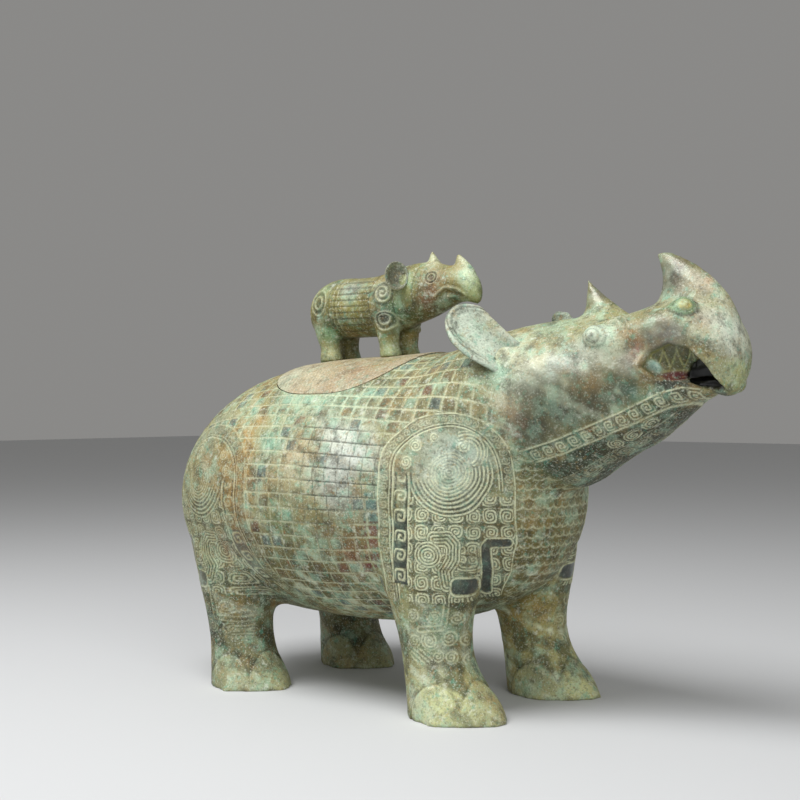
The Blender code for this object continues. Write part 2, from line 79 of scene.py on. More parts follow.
lamps = [
    soft_lamp("overhead_lamp", (-0.25, -0.75, 1.55), (0.0, 0.0, 0.16), 1.0, 30.0),
    soft_lamp("front_lamp", (1.25, -0.9, 0.9), (0.05, 0.0, 0.15), 0.9, 8.0),
]
world = bpy.data.worlds.new("studio")
world.use_nodes = True
world.node_tree.nodes["Background"].inputs["Color"].default_value = SKY_COLOUR
world.node_tree.nodes["Background"].inputs["Strength"].default_value = SKY_STRENGTH
bpy.context.scene.world = world
lens = bpy.data.cameras.new("camera")
lens.lens = CAMERA_LENS
camera = bpy.data.objects.new("camera", lens)
camera.location = CAMERA_PLACE
camera.rotation_euler = (math.pi / 2, 0.0, CAMERA_TURN)
bpy.context.collection.objects.link(camera)
bpy.context.scene.camera = camera
bpy.context.scene.view_settings.view_transform = "Standard"

# The vessel's casting, bronze poured round a core: trunk, neck, head and legs flow into each other
# without an edge, so the pieces are first drawn as one skin, smoothed, and then cut at their joints.
SKIN_GRAIN = 0.0028
SKIN_PASSES = 14
HEAD_PASSES = 5
SOLE_HEIGHT = 0.0018
SPOUT_PLUG = ((0.165, -0.0125, 0.2245), (0.203, 0.0125, 0.2375))
EAR_ROOT = Vector((0.0973, 0.039, 0.236))
EAR_TIP = Vector((0.0493, 0.063, 0.276))
EAR_OPENS = Vector((0.45, 0.80, 0.42)).normalized()
EAR_HALF = 0.0165
EAR_BASE = (0.016, 0.0135, 0.0075)
EAR_BASE_ALONG = 0.16
EAR_BASE_DEPTH = 0.003
NECK_POINT = Vector((0.0393, 0.0, 0.264))
NECK_NORMAL = Vector((0.843, 0.0, 0.538))


def ahead_of_neck(place):
    return (place - NECK_POINT).dot(NECK_NORMAL)


def keep_outside(skin):
    """Deletes the walls of closed hollows, all but the largest connected part of a skin."""
    unseen = set(skin.verts)
    shells = []
    while unseen:
        shell = [unseen.pop()]
        for vert in shell:
            for edge in vert.link_edges:
                other = edge.other_vert(vert)
                if other in unseen:
                    unseen.remove(other)
                    shell.append(other)
        shells.append(shell)
    shells.sort(key=len)
    for shell in shells[:-1]:
        bmesh.ops.delete(skin, geom=shell, context="VERTS")


def eased(builder, verts, passes):
    """Evens out a skin by moving points half way to their neighbours, several times."""
    for turn in range(passes):
        bmesh.ops.smooth_vert(
            builder, verts=verts, factor=0.5, use_axis_x=True, use_axis_y=True, use_axis_z=True
        )


def ear_base(builder, hand):
    """The swelling of the neck that an ear grows out of."""
    along = (EAR_TIP - EAR_ROOT).normalized()
    axes = (along, EAR_OPENS.cross(along), EAR_OPENS)
    for vert in bmesh.ops.create_icosphere(builder, subdivisions=3, radius=1.0)["verts"]:
        place = EAR_ROOT.lerp(EAR_TIP, EAR_BASE_ALONG) - EAR_BASE_DEPTH * EAR_OPENS
        for axis, size, share in zip(axes, EAR_BASE, vert.co):
            place = place + axis * size * share
        vert.co = Vector((place.x, hand * place.y, place.z))


def whole_skin(name, node_names, grain, plug=None):
    """The outer skin of several CAD solids as one closed mesh of even grain."""
    builder = bmesh.new()
    for node_name in node_names:
        builder.from_mesh(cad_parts[node_name].data)
    bmesh.ops.remove_doubles(builder, verts=builder.verts, dist=1e-6)
    if plug:
        low, high = Vector(plug[0]), Vector(plug[1])
        for corner in bmesh.ops.create_cube(builder, size=1.0)["verts"]:
            corner.co = (low + high) / 2 + corner.co * (high - low)
        ear_base(builder, 1)
        ear_base(builder, -1)
    mesh = bpy.data.meshes.new(name)
    builder.to_mesh(mesh)
    builder.free()
    solid = bpy.data.objects.new(name, mesh)
    bpy.context.collection.objects.link(solid)
    grains = solid.modifiers.new("grains", "REMESH")
    grains.mode = "VOXEL"
    grains.voxel_size = grain
    bpy.context.view_layer.update()
    drawn = bpy.data.meshes.new_from_object(solid.evaluated_get(bpy.context.evaluated_depsgraph_get()))
    bpy.data.objects.remove(solid)
    skin = bmesh.new()
    skin.from_mesh(drawn)
    bpy.data.meshes.remove(drawn)
    keep_outside(skin)
    return skin


VESSEL_NODES = (
    "body_shell", "head", "leg_front_left", "leg_front_right", "leg_rear_left", "leg_rear_right",
    "nose_horn", "brow_horn", "lid_plate",
)
skin = whole_skin("vessel_skin", VESSEL_NODES, SKIN_GRAIN, SPOUT_PLUG)
eased(skin, [vert for vert in skin.verts if vert.co.z > SOLE_HEIGHT], HEAD_PASSES)
behind_neck = [vert for vert in skin.verts if vert.co.z > SOLE_HEIGHT and ahead_of_neck(vert.co) < 0]
eased(skin, behind_neck, SKIN_PASSES)

# The joints of the casting: the neck, the four knees, the horns' roots, the lid's oval and the mould
# lines down the middle and across the trunk. The skin gets edges along each, so that pieces meet.
LEG_JOINT = 0.0501
MOULD_LINE = -0.022
HAUNCH_LINE = -0.112
LID_MIDDLE = -0.0687
LID_HALF = (0.065, 0.070)
LID_SQUARENESS = 2.8
BACK_HEIGHT = 0.185
SNOUT_FROM = 0.170
SNOUT_HEIGHT = 0.279
SNOUT_FALL = 0.2
HORN_HALF = 0.013
HORN_FLARE = 1.2
BROW_FROM = 0.140
BROW_HEIGHT = 0.2735
BROW_FALL = 0.8


def above_legs(place):
    return place.z - LEG_JOINT


def outside_lid(place, inset=0.0):
    if place.z < BACK_HEIGHT:
        return 1.0
    along = abs(place.x - LID_MIDDLE) / (LID_HALF[0] - inset)
    across = abs(place.y) / (LID_HALF[1] - inset)
    return along ** LID_SQUARENESS + across ** LID_SQUARENESS - 1


def above_snout(place):
    ridge = SNOUT_HEIGHT - SNOUT_FALL * (place.x - SNOUT_FROM)
    return place.z - ridge - HORN_FLARE * max(0.0, abs(place.y) - HORN_HALF)


def above_brow(place):
    return place.z - BROW_HEIGHT + BROW_FALL * max(0.0, place.x - BROW_FROM)


def left_of_middle(place):
    return place.y


def ahead_of_mould_line(place):
    return place.x - MOULD_LINE


def behind_haunch_line(place):
    return HAUNCH_LINE - place.x


def score(skin, level):
    """Draws edges across a skin where a level function is zero."""
    heights = {vert: level(vert.co) for vert in skin.verts}
    crossings = set()
    for edge in [edge for edge in skin.edges if heights[edge.verts[0]] * heights[edge.verts[1]] < 0]:
        first, second = edge.verts
        share = heights[first] / (heights[first] - heights[second])
        crossings.add(bmesh.utils.edge_split(edge, first, share)[1])
    for face in [face for face in skin.faces if sum(vert in crossings for vert in face.verts) == 2]:
        ends = [vert for vert in face.verts if vert in crossings]
        if not skin.edges.get(ends):
            bmesh.utils.face_split(face, *ends)


for border in (
    above_legs, ahead_of_neck, outside_lid, above_snout, above_brow, left_of_middle, ahead_of_mould_line,
    behind_haunch_line,
):
    score(skin, border)


def patch(skin, belongs):
    """The part of a skin whose faces pass a test, as a mesh of its own."""
    part = skin.copy()
    others = [face for face in part.faces if not belongs(face.calc_center_median())]
    bmesh.ops.delete(part, geom=others, context="FACES")
    return part


# Surface drawing, shared by every cast piece: an outer patch gets a back, is divided finely, pressed
# outwards and inwards by the ornament, and carries the ornament and the stains as attributes.
MILLIMETRES = 1000
FULLY = 0.99
GRAIN_CHANGES = (0.0, 0.10, 0.25)
SQUARISH = 3.0


def outer_normals(mesh, front):
    """Each point's normal from the outer faces alone, so that neighbouring pieces agree at a joint."""
    sides = np.empty(len(mesh.polygons), dtype=np.int32)
    mesh.polygons.foreach_get("loop_total", sides)
    facing = np.empty(len(mesh.polygons) * 3)
    mesh.polygons.foreach_get("normal", facing)
    facing = facing.reshape(-1, 3)
    corners = np.empty(len(mesh.loops), dtype=np.int32)
    mesh.loops.foreach_get("vertex_index", corners)
    owner = np.repeat(np.arange(len(sides)), sides)
    hidden = np.zeros(len(sides))
    np.add.at(hidden, owner, 1.0 - front[corners])
    kept = hidden[owner] < 0.01
    normals = np.zeros((len(front), 3))
    np.add.at(normals, corners[kept], facing[owner[kept]])
    return normals / np.maximum(np.linalg.norm(normals, axis=1), 1e-9)[:, None]


def points_of(verts):
    """The places and normals of some points, as arrays."""
    return np.array([vert.co[:] for vert in verts]), np.array([vert.normal[:] for vert in verts])


def backed(part, wall, drawing):
    """Closes a patch: with a back a wall's thickness behind the drawn face, or with flat caps."""
    outer = part.verts.layers.float.new("outer")
    for vert in part.verts:
        vert[outer] = 1.0
    part.normal_update()
    fronts = list(part.faces)
    rim = [edge for edge in part.edges if edge.is_boundary]
    for edge in rim:
        edge.smooth = False
    if not wall:
        bmesh.ops.holes_fill(part, edges=rim, sides=0)
        return outer
    verts = list(part.verts)
    places, normals = points_of(verts)
    depths = wall + np.maximum(0, -drawing(*(MILLIMETRES * places).T, normals)[0]) / MILLIMETRES
    backs = {}
    for vert, depth in zip(verts, depths):
        backs[vert] = part.verts.new(vert.co - vert.normal * depth)
    for face in fronts:
        part.faces.new([backs[vert] for vert in reversed(face.verts)])
    for edge in rim:
        loop = edge.link_loops[0]
        first, second = loop.vert, loop.link_loop_next.vert
        part.faces.new([second, first, backs[first], backs[second]])
    return outer


def ink(places, normals, drawing):
    """What the drawing puts at each place: its relief, dark lines and pale lines."""
    height, look = drawing(*(MILLIMETRES * places).T, normals)
    return np.stack((height, look["dark"], look["pale"]), axis=1)


def detailed(part, edges, drawing, change):
    """Those edges whose middle is drawn otherwise than their ends lead one to expect."""
    part.normal_update()
    part.verts.index_update()
    places, normals = points_of(part.verts)
    ends = np.array([(edge.verts[0].index, edge.verts[1].index) for edge in edges])
    expected = ink(places, normals, drawing)[ends].mean(axis=1)
    middle = ink(places[ends].mean(axis=1), normals[ends].mean(axis=1), drawing)
    needed = np.abs(middle - expected).max(axis=1) > change
    return [edge for edge, need in zip(edges, needed) if need]


def divided(part, outer, cuts, drawing):
    """Halves the edges of the outer faces several times, the later times only along drawn lines."""
    for change in GRAIN_CHANGES[:cuts]:
        edges = [
            edge for edge in part.edges
            if edge.verts[0][outer] > FULLY and edge.verts[1][outer] > FULLY
            and (edge.smooth or any(len(face.verts) < 5 for face in edge.link_faces))
        ]
        if change:
            edges = detailed(part, [edge for edge in edges if edge.smooth], drawing, change)
        bmesh.ops.subdivide_edges(part, edges=edges, cuts=1, use_grid_fill=True)
        inside = [
            vert for vert in part.verts
            if vert[outer] > FULLY and all(edge.smooth for edge in vert.link_edges)
        ]
        eased(part, inside, 1 if change else 2)
    bmesh.ops.triangulate(part, faces=[face for face in part.faces if len(face.verts) > 4])


def finished(name, part, wall, cuts, drawing, material, body, nodes):
    """Backs a patch, divides it, draws on it and makes it a piece of its body."""
    divided(part, backed(part, wall, drawing), cuts, drawing)
    mesh = bpy.data.meshes.new(name)
    part.to_mesh(mesh)
    part.free()
    mesh.shade_smooth()
    count = len(mesh.vertices)
    places = np.empty(count * 3)
    mesh.vertices.foreach_get("co", places)
    places = places.reshape(-1, 3)
    front = np.empty(count)
    mesh.attributes["outer"].data.foreach_get("value", front)
    normals = outer_normals(mesh, front)
    height, look = drawing(*(MILLIMETRES * places).T, normals)
    shown = front > FULLY
    places[shown] += normals[shown] * height[shown, None] / MILLIMETRES
    places[:, 2] = np.maximum(places[:, 2], 0)
    mesh.vertices.foreach_set("co", places.ravel())
    for label in ("dark", "pale", "polish"):
        mesh.attributes.new(label, "FLOAT", "POINT").data.foreach_set("value", look[label] * shown)
    colours = np.ones((count, 4))
    colours[:, :3] = look["tint"]
    mesh.attributes.new("tint", "FLOAT_COLOR", "POINT").data.foreach_set("color", colours.ravel())
    mesh.attributes.remove(mesh.attributes["outer"])
    mesh.materials.append(material)
    mesh.update()
    piece = bpy.data.objects.new(name, mesh)
    bpy.context.collection.objects.link(piece)
    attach(piece, body)
    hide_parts(*nodes)


def drawn_as(height, tint, dark, pale, polish):
    """What a drawing hands over: its relief and the attributes that the material reads."""
    return height, {"dark": np.clip(dark, 0, 1), "pale": np.clip(pale, 0, 1), "polish": polish, "tint": tint}


def stroke(distance, width):
    """One engraved line: 1 on the line, falling smoothly to 0 at its width."""
    rise = np.clip(1 - np.abs(distance) / width, 0, 1)
    return rise * rise * (3 - 2 * rise)


def step(value, low, high):
    """Rises smoothly from 0 to 1 between two values."""
    rise = np.clip((value - low) / (high - low), 0, 1)
    return rise * rise * (3 - 2 * rise)


def nearest(value):
    """Distance from each value to the nearest whole number."""
    return np.abs(value - np.round(value))


def stripes(value, pitch, width):
    """Engraved lines side by side, one at each whole pitch."""
    return stroke(nearest(value / pitch) * pitch, width)


def within_cell(value, size):
    """Position of each value inside its cell, measured from the cell's middle."""
    return (value / size - np.floor(value / size) - 0.5) * size


def wobble(x, y, z, length, phase):
    """A slow wave through space, between -1 and 1, that keeps engraved rows from being straight."""
    return (
        np.sin(x / length + 1.7 * phase) * np.cos(y / (0.8 * length) + phase)
        + np.sin(z / (0.9 * length) + 2.3 * phase + 0.6 * x / length)
    ) / 2


def coil(across, up, radius, pitch, hand, power=2.0):
    """A spiral line inside a round or squarish outline of a given half size."""
    reach = (np.abs(across) ** power + np.abs(up) ** power) ** (1 / power)
    turn = np.arctan2(up, across) / (2 * np.pi)
    return stroke(nearest(reach / pitch - hand * turn) * pitch, 0.46 * pitch) * step(radius - reach, 0, 0.6)


def coils(across, up, motifs):
    """The lines of several coils, each in its own place."""
    lines = np.zeros(len(across))
    for middle, height, radius, pitch, hand in motifs:
        near = np.flatnonzero((np.abs(across - middle) < radius) & (np.abs(up - height) < radius))
        drawn = coil(across[near] - middle, up[near] - height, radius, pitch, hand)
        lines[near] = np.maximum(lines[near], drawn)
    return lines


def coil_rows(across, up, size, pitch):
    """Coils of one size side by side in rows, wound left and right by turns."""
    hand = 1 - 2 * ((np.floor(across / size) + np.floor(up / size)) % 2)
    return coil(within_cell(across, size), within_cell(up, size), 0.49 * size, pitch, hand, SQUARISH)


def beside_path(across, up, path):
    """Distance along a broken line and distance beside it, positive on its left."""
    nearest_yet = np.full(len(across), 1e9)
    along = np.zeros(len(across))
    beside = np.zeros(len(across))
    passed = 0.0
    for (ax, az), (bx, bz) in zip(path, path[1:]):
        length = math.hypot(bx - ax, bz - az)
        right, rise = (bx - ax) / length, (bz - az) / length
        share = np.clip((across - ax) * right + (up - az) * rise, 0, length)
        apart = np.hypot(across - ax - share * right, up - az - share * rise)
        left = np.sign((up - az) * right - (across - ax) * rise)
        closer = apart < nearest_yet
        nearest_yet = np.where(closer, apart, nearest_yet)
        along = np.where(closer, passed + share, along)
        beside = np.where(closer, left * apart, beside)
        passed += length
    return along, beside


def inside_outline(across, up, outline):
    """How far inside an outline each point is, negative outside it."""
    within = np.zeros(len(across), dtype=bool)
    for (ax, az), (bx, bz) in zip(outline, outline[1:] + outline[:1]):
        crossing = ax + (up - az) * (bx - ax) / (bz - az if bz != az else 1e-9)
        within ^= ((az > up) != (bz > up)) & (across < crossing)
    apart = np.abs(beside_path(across, up, outline + outline[:1])[1])
    return np.where(within, apart, -apart)


# Old bronze: a casting that has turned olive brown and celadon green under the ground, with ochre
# earth, dark polished places, rust spots and pale specks. The drawing's lines are set off by colour.
def linear(red, green, blue):
    """A colour given from 0 to 255 as a shader value."""
    return tuple((value / 255) ** 2.2 for value in (red, green, blue))


CELADON = (176, 212, 182)
OLIVE = (132, 122, 70)
OCHRE = (170, 138, 80)
DARK = (46, 46, 30)
CHALK = (226, 232, 214)
RUST = (146, 84, 48)
TEAL = (96, 168, 144)
WINE = (104, 42, 44)
TAN = (190, 172, 134)
CREAM = (206, 210, 180)
SLATE = (84, 102, 100)
LINE_PALE = (222, 226, 188)
LINE_DARK = (44, 48, 36)


def patina(name, green, soil, gloom, specks, rough, smooth):
    """The shader of one casting: its tint, mottled, with engraved lines and specks on it."""
    material = bpy.data.materials.new(name)
    material.use_nodes = True
    tree = material.node_tree
    shader = tree.nodes["Principled BSDF"]
    place = tree.nodes.new("ShaderNodeTexCoord").outputs["Object"]

    def spread(value, low, high, bottom=0.0, top=1.0):
        ranged = tree.nodes.new("ShaderNodeMapRange")
        ranged.interpolation_type = "SMOOTHSTEP"
        for label, number in (("From Min", low), ("From Max", high), ("To Min", bottom), ("To Max", top)):
            ranged.inputs[label].default_value = number
        tree.links.new(value, ranged.inputs["Value"])
        return ranged.outputs["Result"]

    def noise(scale, detail, seed):
        texture = tree.nodes.new("ShaderNodeTexNoise")
        texture.noise_dimensions = "4D"
        texture.inputs["Scale"].default_value = scale
        texture.inputs["Detail"].default_value = detail
        texture.inputs["Roughness"].default_value = 0.62
        texture.inputs["W"].default_value = seed
        tree.links.new(place, texture.inputs["Vector"])
        return texture.outputs["Fac"]

    def drawn(label, output="Fac"):
        reader = tree.nodes.new("ShaderNodeAttribute")
        reader.attribute_name = label
        return reader.outputs[output]

    def product(first, second):
        times = tree.nodes.new("ShaderNodeMath")
        times.operation = "MULTIPLY"
        tree.links.new(first, times.inputs[0])
        if isinstance(second, float):
            times.inputs[1].default_value = second
        else:
            tree.links.new(second, times.inputs[1])
        return times.outputs["Value"]

    def over(below, above, share):
        mixer = tree.nodes.new("ShaderNodeMix")
        mixer.data_type = "RGBA"
        factor, first, second = mixer.inputs[0], mixer.inputs[6], mixer.inputs[7]
        tree.links.new(below, first)
        second.default_value = linear(*above) + (1.0,)
        tree.links.new(share, factor)
        return mixer.outputs[2]

    crusty = spread(drawn("polish"), 0.0, 2.0, 1.0, 0.0)

    def layered(below, detail, layers):
        for shade, size, seed, low, high, strength in layers:
            share = product(spread(noise(size, detail, seed), low, high), crusty)
            below = over(below, shade, product(share, strength))
        return below

    colour = layered(drawn("tint", "Color"), 5, (
        (CELADON, 70, 0.0, 0.49, 0.64, green), (OCHRE, 42, 3.0, 0.52, 0.68, soil),
        (DARK, 90, 7.0, 0.48, 0.66, gloom), (TEAL, 120, 11.0, 0.56, 0.68, green),
        (RUST, 150, 15.0, 0.63, 0.72, 0.6), (CHALK, 170, 17.0, 0.56, 0.69, 0.5),
        (DARK, 230, 18.0, 0.54, 0.67, 0.45),
    ))
    wear = spread(noise(150, 4, 19.0), 0.28, 0.50)
    colour = over(colour, LINE_DARK, product(drawn("dark"), 0.88))
    colour = over(colour, LINE_PALE, product(product(drawn("pale"), wear), 0.88))
    colour = layered(colour, 3, (
        (OCHRE, 330, 21.0, 0.55, 0.66, 0.45 * specks), (TEAL, 300, 23.0, 0.57, 0.68, 0.45 * specks),
        (CHALK, 760, 25.0, 0.54, 0.64, 0.50 * specks), (DARK, 700, 29.0, 0.54, 0.64, 0.50 * specks),
    ))
    tree.links.new(colour, shader.inputs["Base Color"])
    tree.links.new(spread(drawn("polish"), 0.0, 1.0, rough, smooth), shader.inputs["Roughness"])
    shader.inputs["Metallic"].default_value = 0.10
    bump = tree.nodes.new("ShaderNodeBump")
    bump.inputs["Distance"].default_value = 0.0012
    tree.links.new(spread(drawn("polish"), 0.0, 1.0, 0.85, 0.30), bump.inputs["Strength"])
    tree.links.new(noise(360, 8, 33.0), bump.inputs["Height"])
    tree.links.new(bump.outputs["Normal"], shader.inputs["Normal"])
    return material


def stained(x, y, z, base, stains):
    """The tint of each point: the base colour with soft ragged stains laid over it."""
    tint = np.tile(np.array(linear(*base)), (len(x), 1))
    for sx, sy, sz, radius, colour, strength in stains:
        apart = np.minimum((y - sy) ** 2, (y + sy) ** 2 + 300)
        ragged = 1 + 0.30 * wobble(x, y, z, 7.0, sx) + 0.22 * wobble(x, y, z, 2.6, sz)
        share = strength * np.exp(-((x - sx) ** 2 + apart + (z - sz) ** 2) / (radius * ragged) ** 2)
        tint += share[:, None] * (np.array(linear(*colour)) - tint)
    return tint


def tinted(tint, *layers):
    """Lays colours over a tint, each where its share says so."""
    for share, colour in layers:
        tint = tint + share[:, None] * (np.array(linear(*colour)) - tint)
    return tint


# How much the painted shade on faces turned to the floor takes from red, green and blue.
UNDERSIDE_PAINTED_SHADE = (0.44, 0.47, 0.62)


def in_shadow(tint, normals):
    """Darkens what faces the floor: painted shade on the undersides."""
    below = step(-normals[:, 2], -0.05, 0.85)
    return tint * (1 - below[:, None] * np.array(UNDERSIDE_PAINTED_SHADE))


# The flanks' ornament, engraved in the wax before casting: rows of small pillowed scales round the
# trunk, and fish scales on the chest and the throat.
ROW = 9.5
COLUMN = 10.4
AXIS_HEIGHT = 148
GIRTH = 97
CHEST_AXIS = 35
CHEST_RADIUS = 58
FISH = (7.6, 6.6)


def scales(x, y, z):
    """Grooves between the scales, how far each swells, and a number for each scale."""
    row = np.arctan2(np.abs(y), z - AXIS_HEIGHT) * GIRTH / ROW + 0.12 * wobble(x, y, z, 28, 1.0)
    shift = 0.20 * np.sin(7.3 * np.floor(row)) + 0.13 * wobble(x, y, z, 22, 2.0)
    column = x / COLUMN + shift
    across = stroke(nearest(row) * ROW, 0.8)
    down = stroke(nearest(column) * COLUMN, 0.8)
    inner = np.maximum(np.abs(column - np.floor(column) - 0.5), np.abs(row - np.floor(row) - 0.5))
    number = np.sin(np.floor(column) * 12.99 + np.floor(row) * 78.23) * 43758.5
    return np.maximum(across, 0.7 * down), inner, number - np.floor(number)


def fish_scales(x, y, z):
    """Overlapping round scales in rows round the chest."""
    width, tall = FISH
    round_chest = np.arctan2(y, np.maximum(x - CHEST_AXIS, 1)) * CHEST_RADIUS
    tier = np.floor(z / tall)
    shift = within_cell(round_chest + 0.5 * width * (tier % 2), width)
    return stroke(np.hypot(shift, 1.15 * (tall - z + tier * tall)) - 0.56 * width, 1.0)


# The scroll panels on shoulders and haunches: a large coil with rings under it, in an arch with a
# border of tiny coils, over rows of small coils that run on down the leg.
SHOULDER = (60, 75, 166)
HAUNCH = (-150, 75, 156)
LEFT_EDGE = ((-150, -100, -85, -47, 0), (36, 39, 45, 50, 50))
RIGHT_EDGE = ((-125, -102, -89, -67, -47, -23, 0), (24, 24, 28, 38, 43, 43, 42))
ARCH_TALL = 40.0
INNER_TALL = 31.0
BORDER = 10.0
PANEL_RINGS = (10.4, 12.5, 14.7, 17.1, 19.7, 22.5, 25.4, 28.2)
UPPER_COILS = (
    (-24, 18, 4.8, 1.9, 1), (-30, 7, 4.8, 1.9, -1), (-11, 24.5, 3.4, 1.7, 1), (9.5, 18, 4.6, 1.9, 1),
    (21, -3.5, 6.4, 2.0, -1),
)
HEART = (-14.5, -54.0)
BUNDLE = ((-10.0, -43.5), (-1.0, -43.5), (3.0, -48.0), (2.0, -57.0), (-3.0, -65.0), (-1.0, -74.0))
BLOCK = (11.5, -57.0)
HOOK = ((37.0, -46.5), (26.0, -47.0), (23.5, -50.0), (21.5, -80.0))
TABLET = (9.5, -76.0, 7.2, 4.9)
STRIP = (-40.0, -28.0)
LEG_TOP = -86.0
LEG_COILS = (
    (-25.0, -96.0, 5.0, 2.1, 1), (-10.5, -95.5, 5.4, 2.1, -1), (4.0, -97.0, 5.0, 2.1, 1),
    (-13.6, -111.5, 6.4, 2.2, 1), (0.0, -110.0, 5.6, 2.2, -1), (9.5, -112.0, 5.2, 2.2, 1),
    (-24.5, -112.0, 5.0, 2.1, -1), (-8.5, -121.5, 4.6, 2.0, 1), (0.5, -122.5, 5.0, 2.1, -1),
    (11.0, -124.0, 5.0, 2.1, 1),
)
LEG_HOOK = ((-2.0, -84.0), (-4.5, -103.0), (-20.0, -104.5))
FAN = (-20.5, -123.0, 8.5, 6.5)


def arched(across, up, half, tall):
    """1 on the edge of a shape with straight sides and an oval arch on top, less inside it."""
    return np.where(up > 0, np.hypot(across / half, up / tall), np.abs(across) / half)


def panel(across, up):
    """A scroll panel: its pale lines, the gloom between them, its black places and where it covers."""
    left = across < 0
    half = np.where(left, np.interp(up, *LEFT_EDGE), np.interp(up, *RIGHT_EDGE))
    arch = arched(across, up, half, ARCH_TALL)
    inner_half = np.where(left | (up > -12), half - BORDER, half)
    inner = arched(across, up, inner_half, INNER_TALL)
    inside = step(1.03 - arch, 0, 0.03)
    core = inner < 0.97
    reach = np.hypot(across, up)
    turn = np.arctan2(up, across)

    lines = np.maximum(stroke((arch - 1) * 44, 0.8), stroke((inner - 1) * 35, 0.8))
    lines = np.maximum(lines, 0.8 * stroke((inner - 1.06) * 35, 0.7))
    lines = lines * step(up, LEG_TOP - 4, LEG_TOP + 6)
    gap = (inner > 1.06) & (arch < 0.98) & (up > LEG_TOP)
    border = ((1.0 - arch) * half - (inner - 1.06) * inner_half) / 2
    along = np.where(up > 0, turn * 42, up)
    lines = np.maximum(lines, 0.55 * gap * coil(within_cell(along, 6.2), border, 3.2, 1.6, 1, SQUARISH))
    gloom = np.where(gap, 0.45, 0.10) * inside
    gloom = np.maximum(gloom, 0.8 * stroke((inner - 1.03) * 35, 0.9) * (up > LEG_TOP))

    rings = np.zeros(len(across))
    for radius in PANEL_RINGS:
        rings = np.maximum(rings, stroke(reach - radius, 1.0))
    under = core * step(0.25 - np.sin(turn - 0.25), 0, 0.5) * (reach < 29.4) * (reach > 9.4)
    lines = np.maximum(lines, under * rings)
    gloom = np.maximum(gloom, 0.75 * under * step(reach, 11, 18))
    swept = core * coil(across, up, 15.5, 2.2, 1)
    lines = np.maximum(lines, 0.45 * swept)
    gloom = np.maximum(gloom, 0.30 * core * (reach < 15) * (1 - swept))
    upper = core & (reach > 16) & (up > -9)
    lines = np.where(upper & (under < 0.3), np.maximum(lines, coils(across, up, UPPER_COILS)), lines)
    swirl = np.hypot(across - 12, up - 14)
    swirl_lines = stripes(swirl, 2.3, 0.9) * (swirl > 6) * (swirl < 14) * (across > 6)
    lines = np.maximum(lines, upper * (under < 0.3) * swirl_lines)
    gloom = np.maximum(gloom, 0.25 * upper * (under < 0.3))

    low = core & (up < -16) & (reach > 29.4) & (across > STRIP[1])
    leg = up < LEG_TOP
    feathers = stripes(0.6 * across + 0.8 * up, 2.8, 1.1)
    feathers = feathers * (np.hypot((across - FAN[0]) / FAN[2], (up - FAN[1]) / FAN[3]) < 1)
    limb = np.abs(beside_path(across, up, LEG_HOOK)[1])
    limb = np.where(limb < 3.0, stroke(limb - 1.7, 1.0), coils(across, up, LEG_COILS))
    limb = 0.62 * np.maximum(limb, feathers)
    lines = np.where(low, np.where(leg, limb, coil_rows(across + 1.2, up + 0.2, 11.2, 1.9)), lines)
    gloom = np.where(low, np.where(leg, 0.40, 0.7), gloom)

    turned = np.abs(across - HEART[0]) + 0.8 * np.abs(up - HEART[1])
    heart = np.maximum(turned * 0.72, np.hypot(across - HEART[0], up - HEART[1]))
    lines = np.where(heart < 9.4, stripes(heart, 2.1, 0.95), lines)
    bundle = np.abs(beside_path(across, up, BUNDLE)[1])
    lines = np.where((bundle < 5.4) & (heart >= 9.4), stripes(bundle, 2.15, 0.9), lines)
    block = ((across - BLOCK[0]) ** 4 + (up - BLOCK[1]) ** 4) ** 0.25
    in_block = (block < 8.4) & (bundle >= 5.4)
    pair = coil_rows(across - BLOCK[0], up - BLOCK[1] - 3, 6.4, 1.9)
    curve = stripes(block - 1, 2.1, 0.9)
    lines = np.where(in_block, np.where((block < 5.2) | (up > BLOCK[1] + 4), pair, curve), lines)

    scroll = coil(across - sum(STRIP) / 2, within_cell(up - 4, 13.2), 5.2, 3.3, 1, 4.0) ** 2
    strip = (across > STRIP[0]) & (across < STRIP[1]) & (up < -2) & (up > -74)
    lines = np.where(strip, scroll, lines)
    beside = np.minimum(np.abs(across - STRIP[0]), np.abs(across - STRIP[1]))
    on_strip = (up < 0) * (up > -74)
    lines = np.maximum(lines, on_strip * stroke(beside, 0.8))
    gloom = np.maximum(gloom, on_strip * stroke(beside - 1.8, 1.4))
    hook = np.abs(beside_path(across, up, HOOK)[1])
    corner = np.maximum(np.abs(across - TABLET[0]) - TABLET[2] + 3, 0)
    tablet = np.hypot(corner, np.maximum(np.abs(up - TABLET[1]) - TABLET[3] + 3, 0)) - 3
    lines = np.where(hook < 4.4, stroke(hook - 3.5, 0.9), lines)
    lines = np.where(tablet < 2.4, stroke(tablet - 1.2, 1.2), lines)
    black = np.maximum(strip * step(-up, 18, 30), np.maximum(1.0 * (hook < 2.8), 1.0 * (tablet < 0.3)))
    gloom = np.where(black > 0.5, 0.0, gloom)
    return lines * inside, gloom * inside * (1 - lines), black * inside * (1 - lines), inside


# The head's ornament: ringed eyes under two folds of the lid, almond nostrils, teeth between the lips round
# the spout, whose hole is painted black as shade, and a keyed band along the jaw.
EYE = (150.5, 43.4, 256.7)
NOSTRIL = (210.5, 29.4, 274.6)
MOUTH = (
    (181, 236), (186, 245), (198, 250), (210, 247), (219, 238), (226, 224), (216, 226), (205, 228), (190, 229)
)
SPOUT = ((205, 231), (207.5, 237.5), (213, 239), (218, 237), (226, 228), (228, 222), (216, 221.5), (208, 226))
JAW = ((96, 175), (124, 184), (139, 190.5), (169, 202.5), (192.5, 214.5), (204, 218), (214, 217))
POLISHED = (
    (129, 49, 212, 30), (165, 40, 224, 24), (195, 30, 252, 18), (118, 50, 230, 18), (188, 6, 298, 16),
    (110, 46, 198, 16), (129, 3, 286, 10),
)


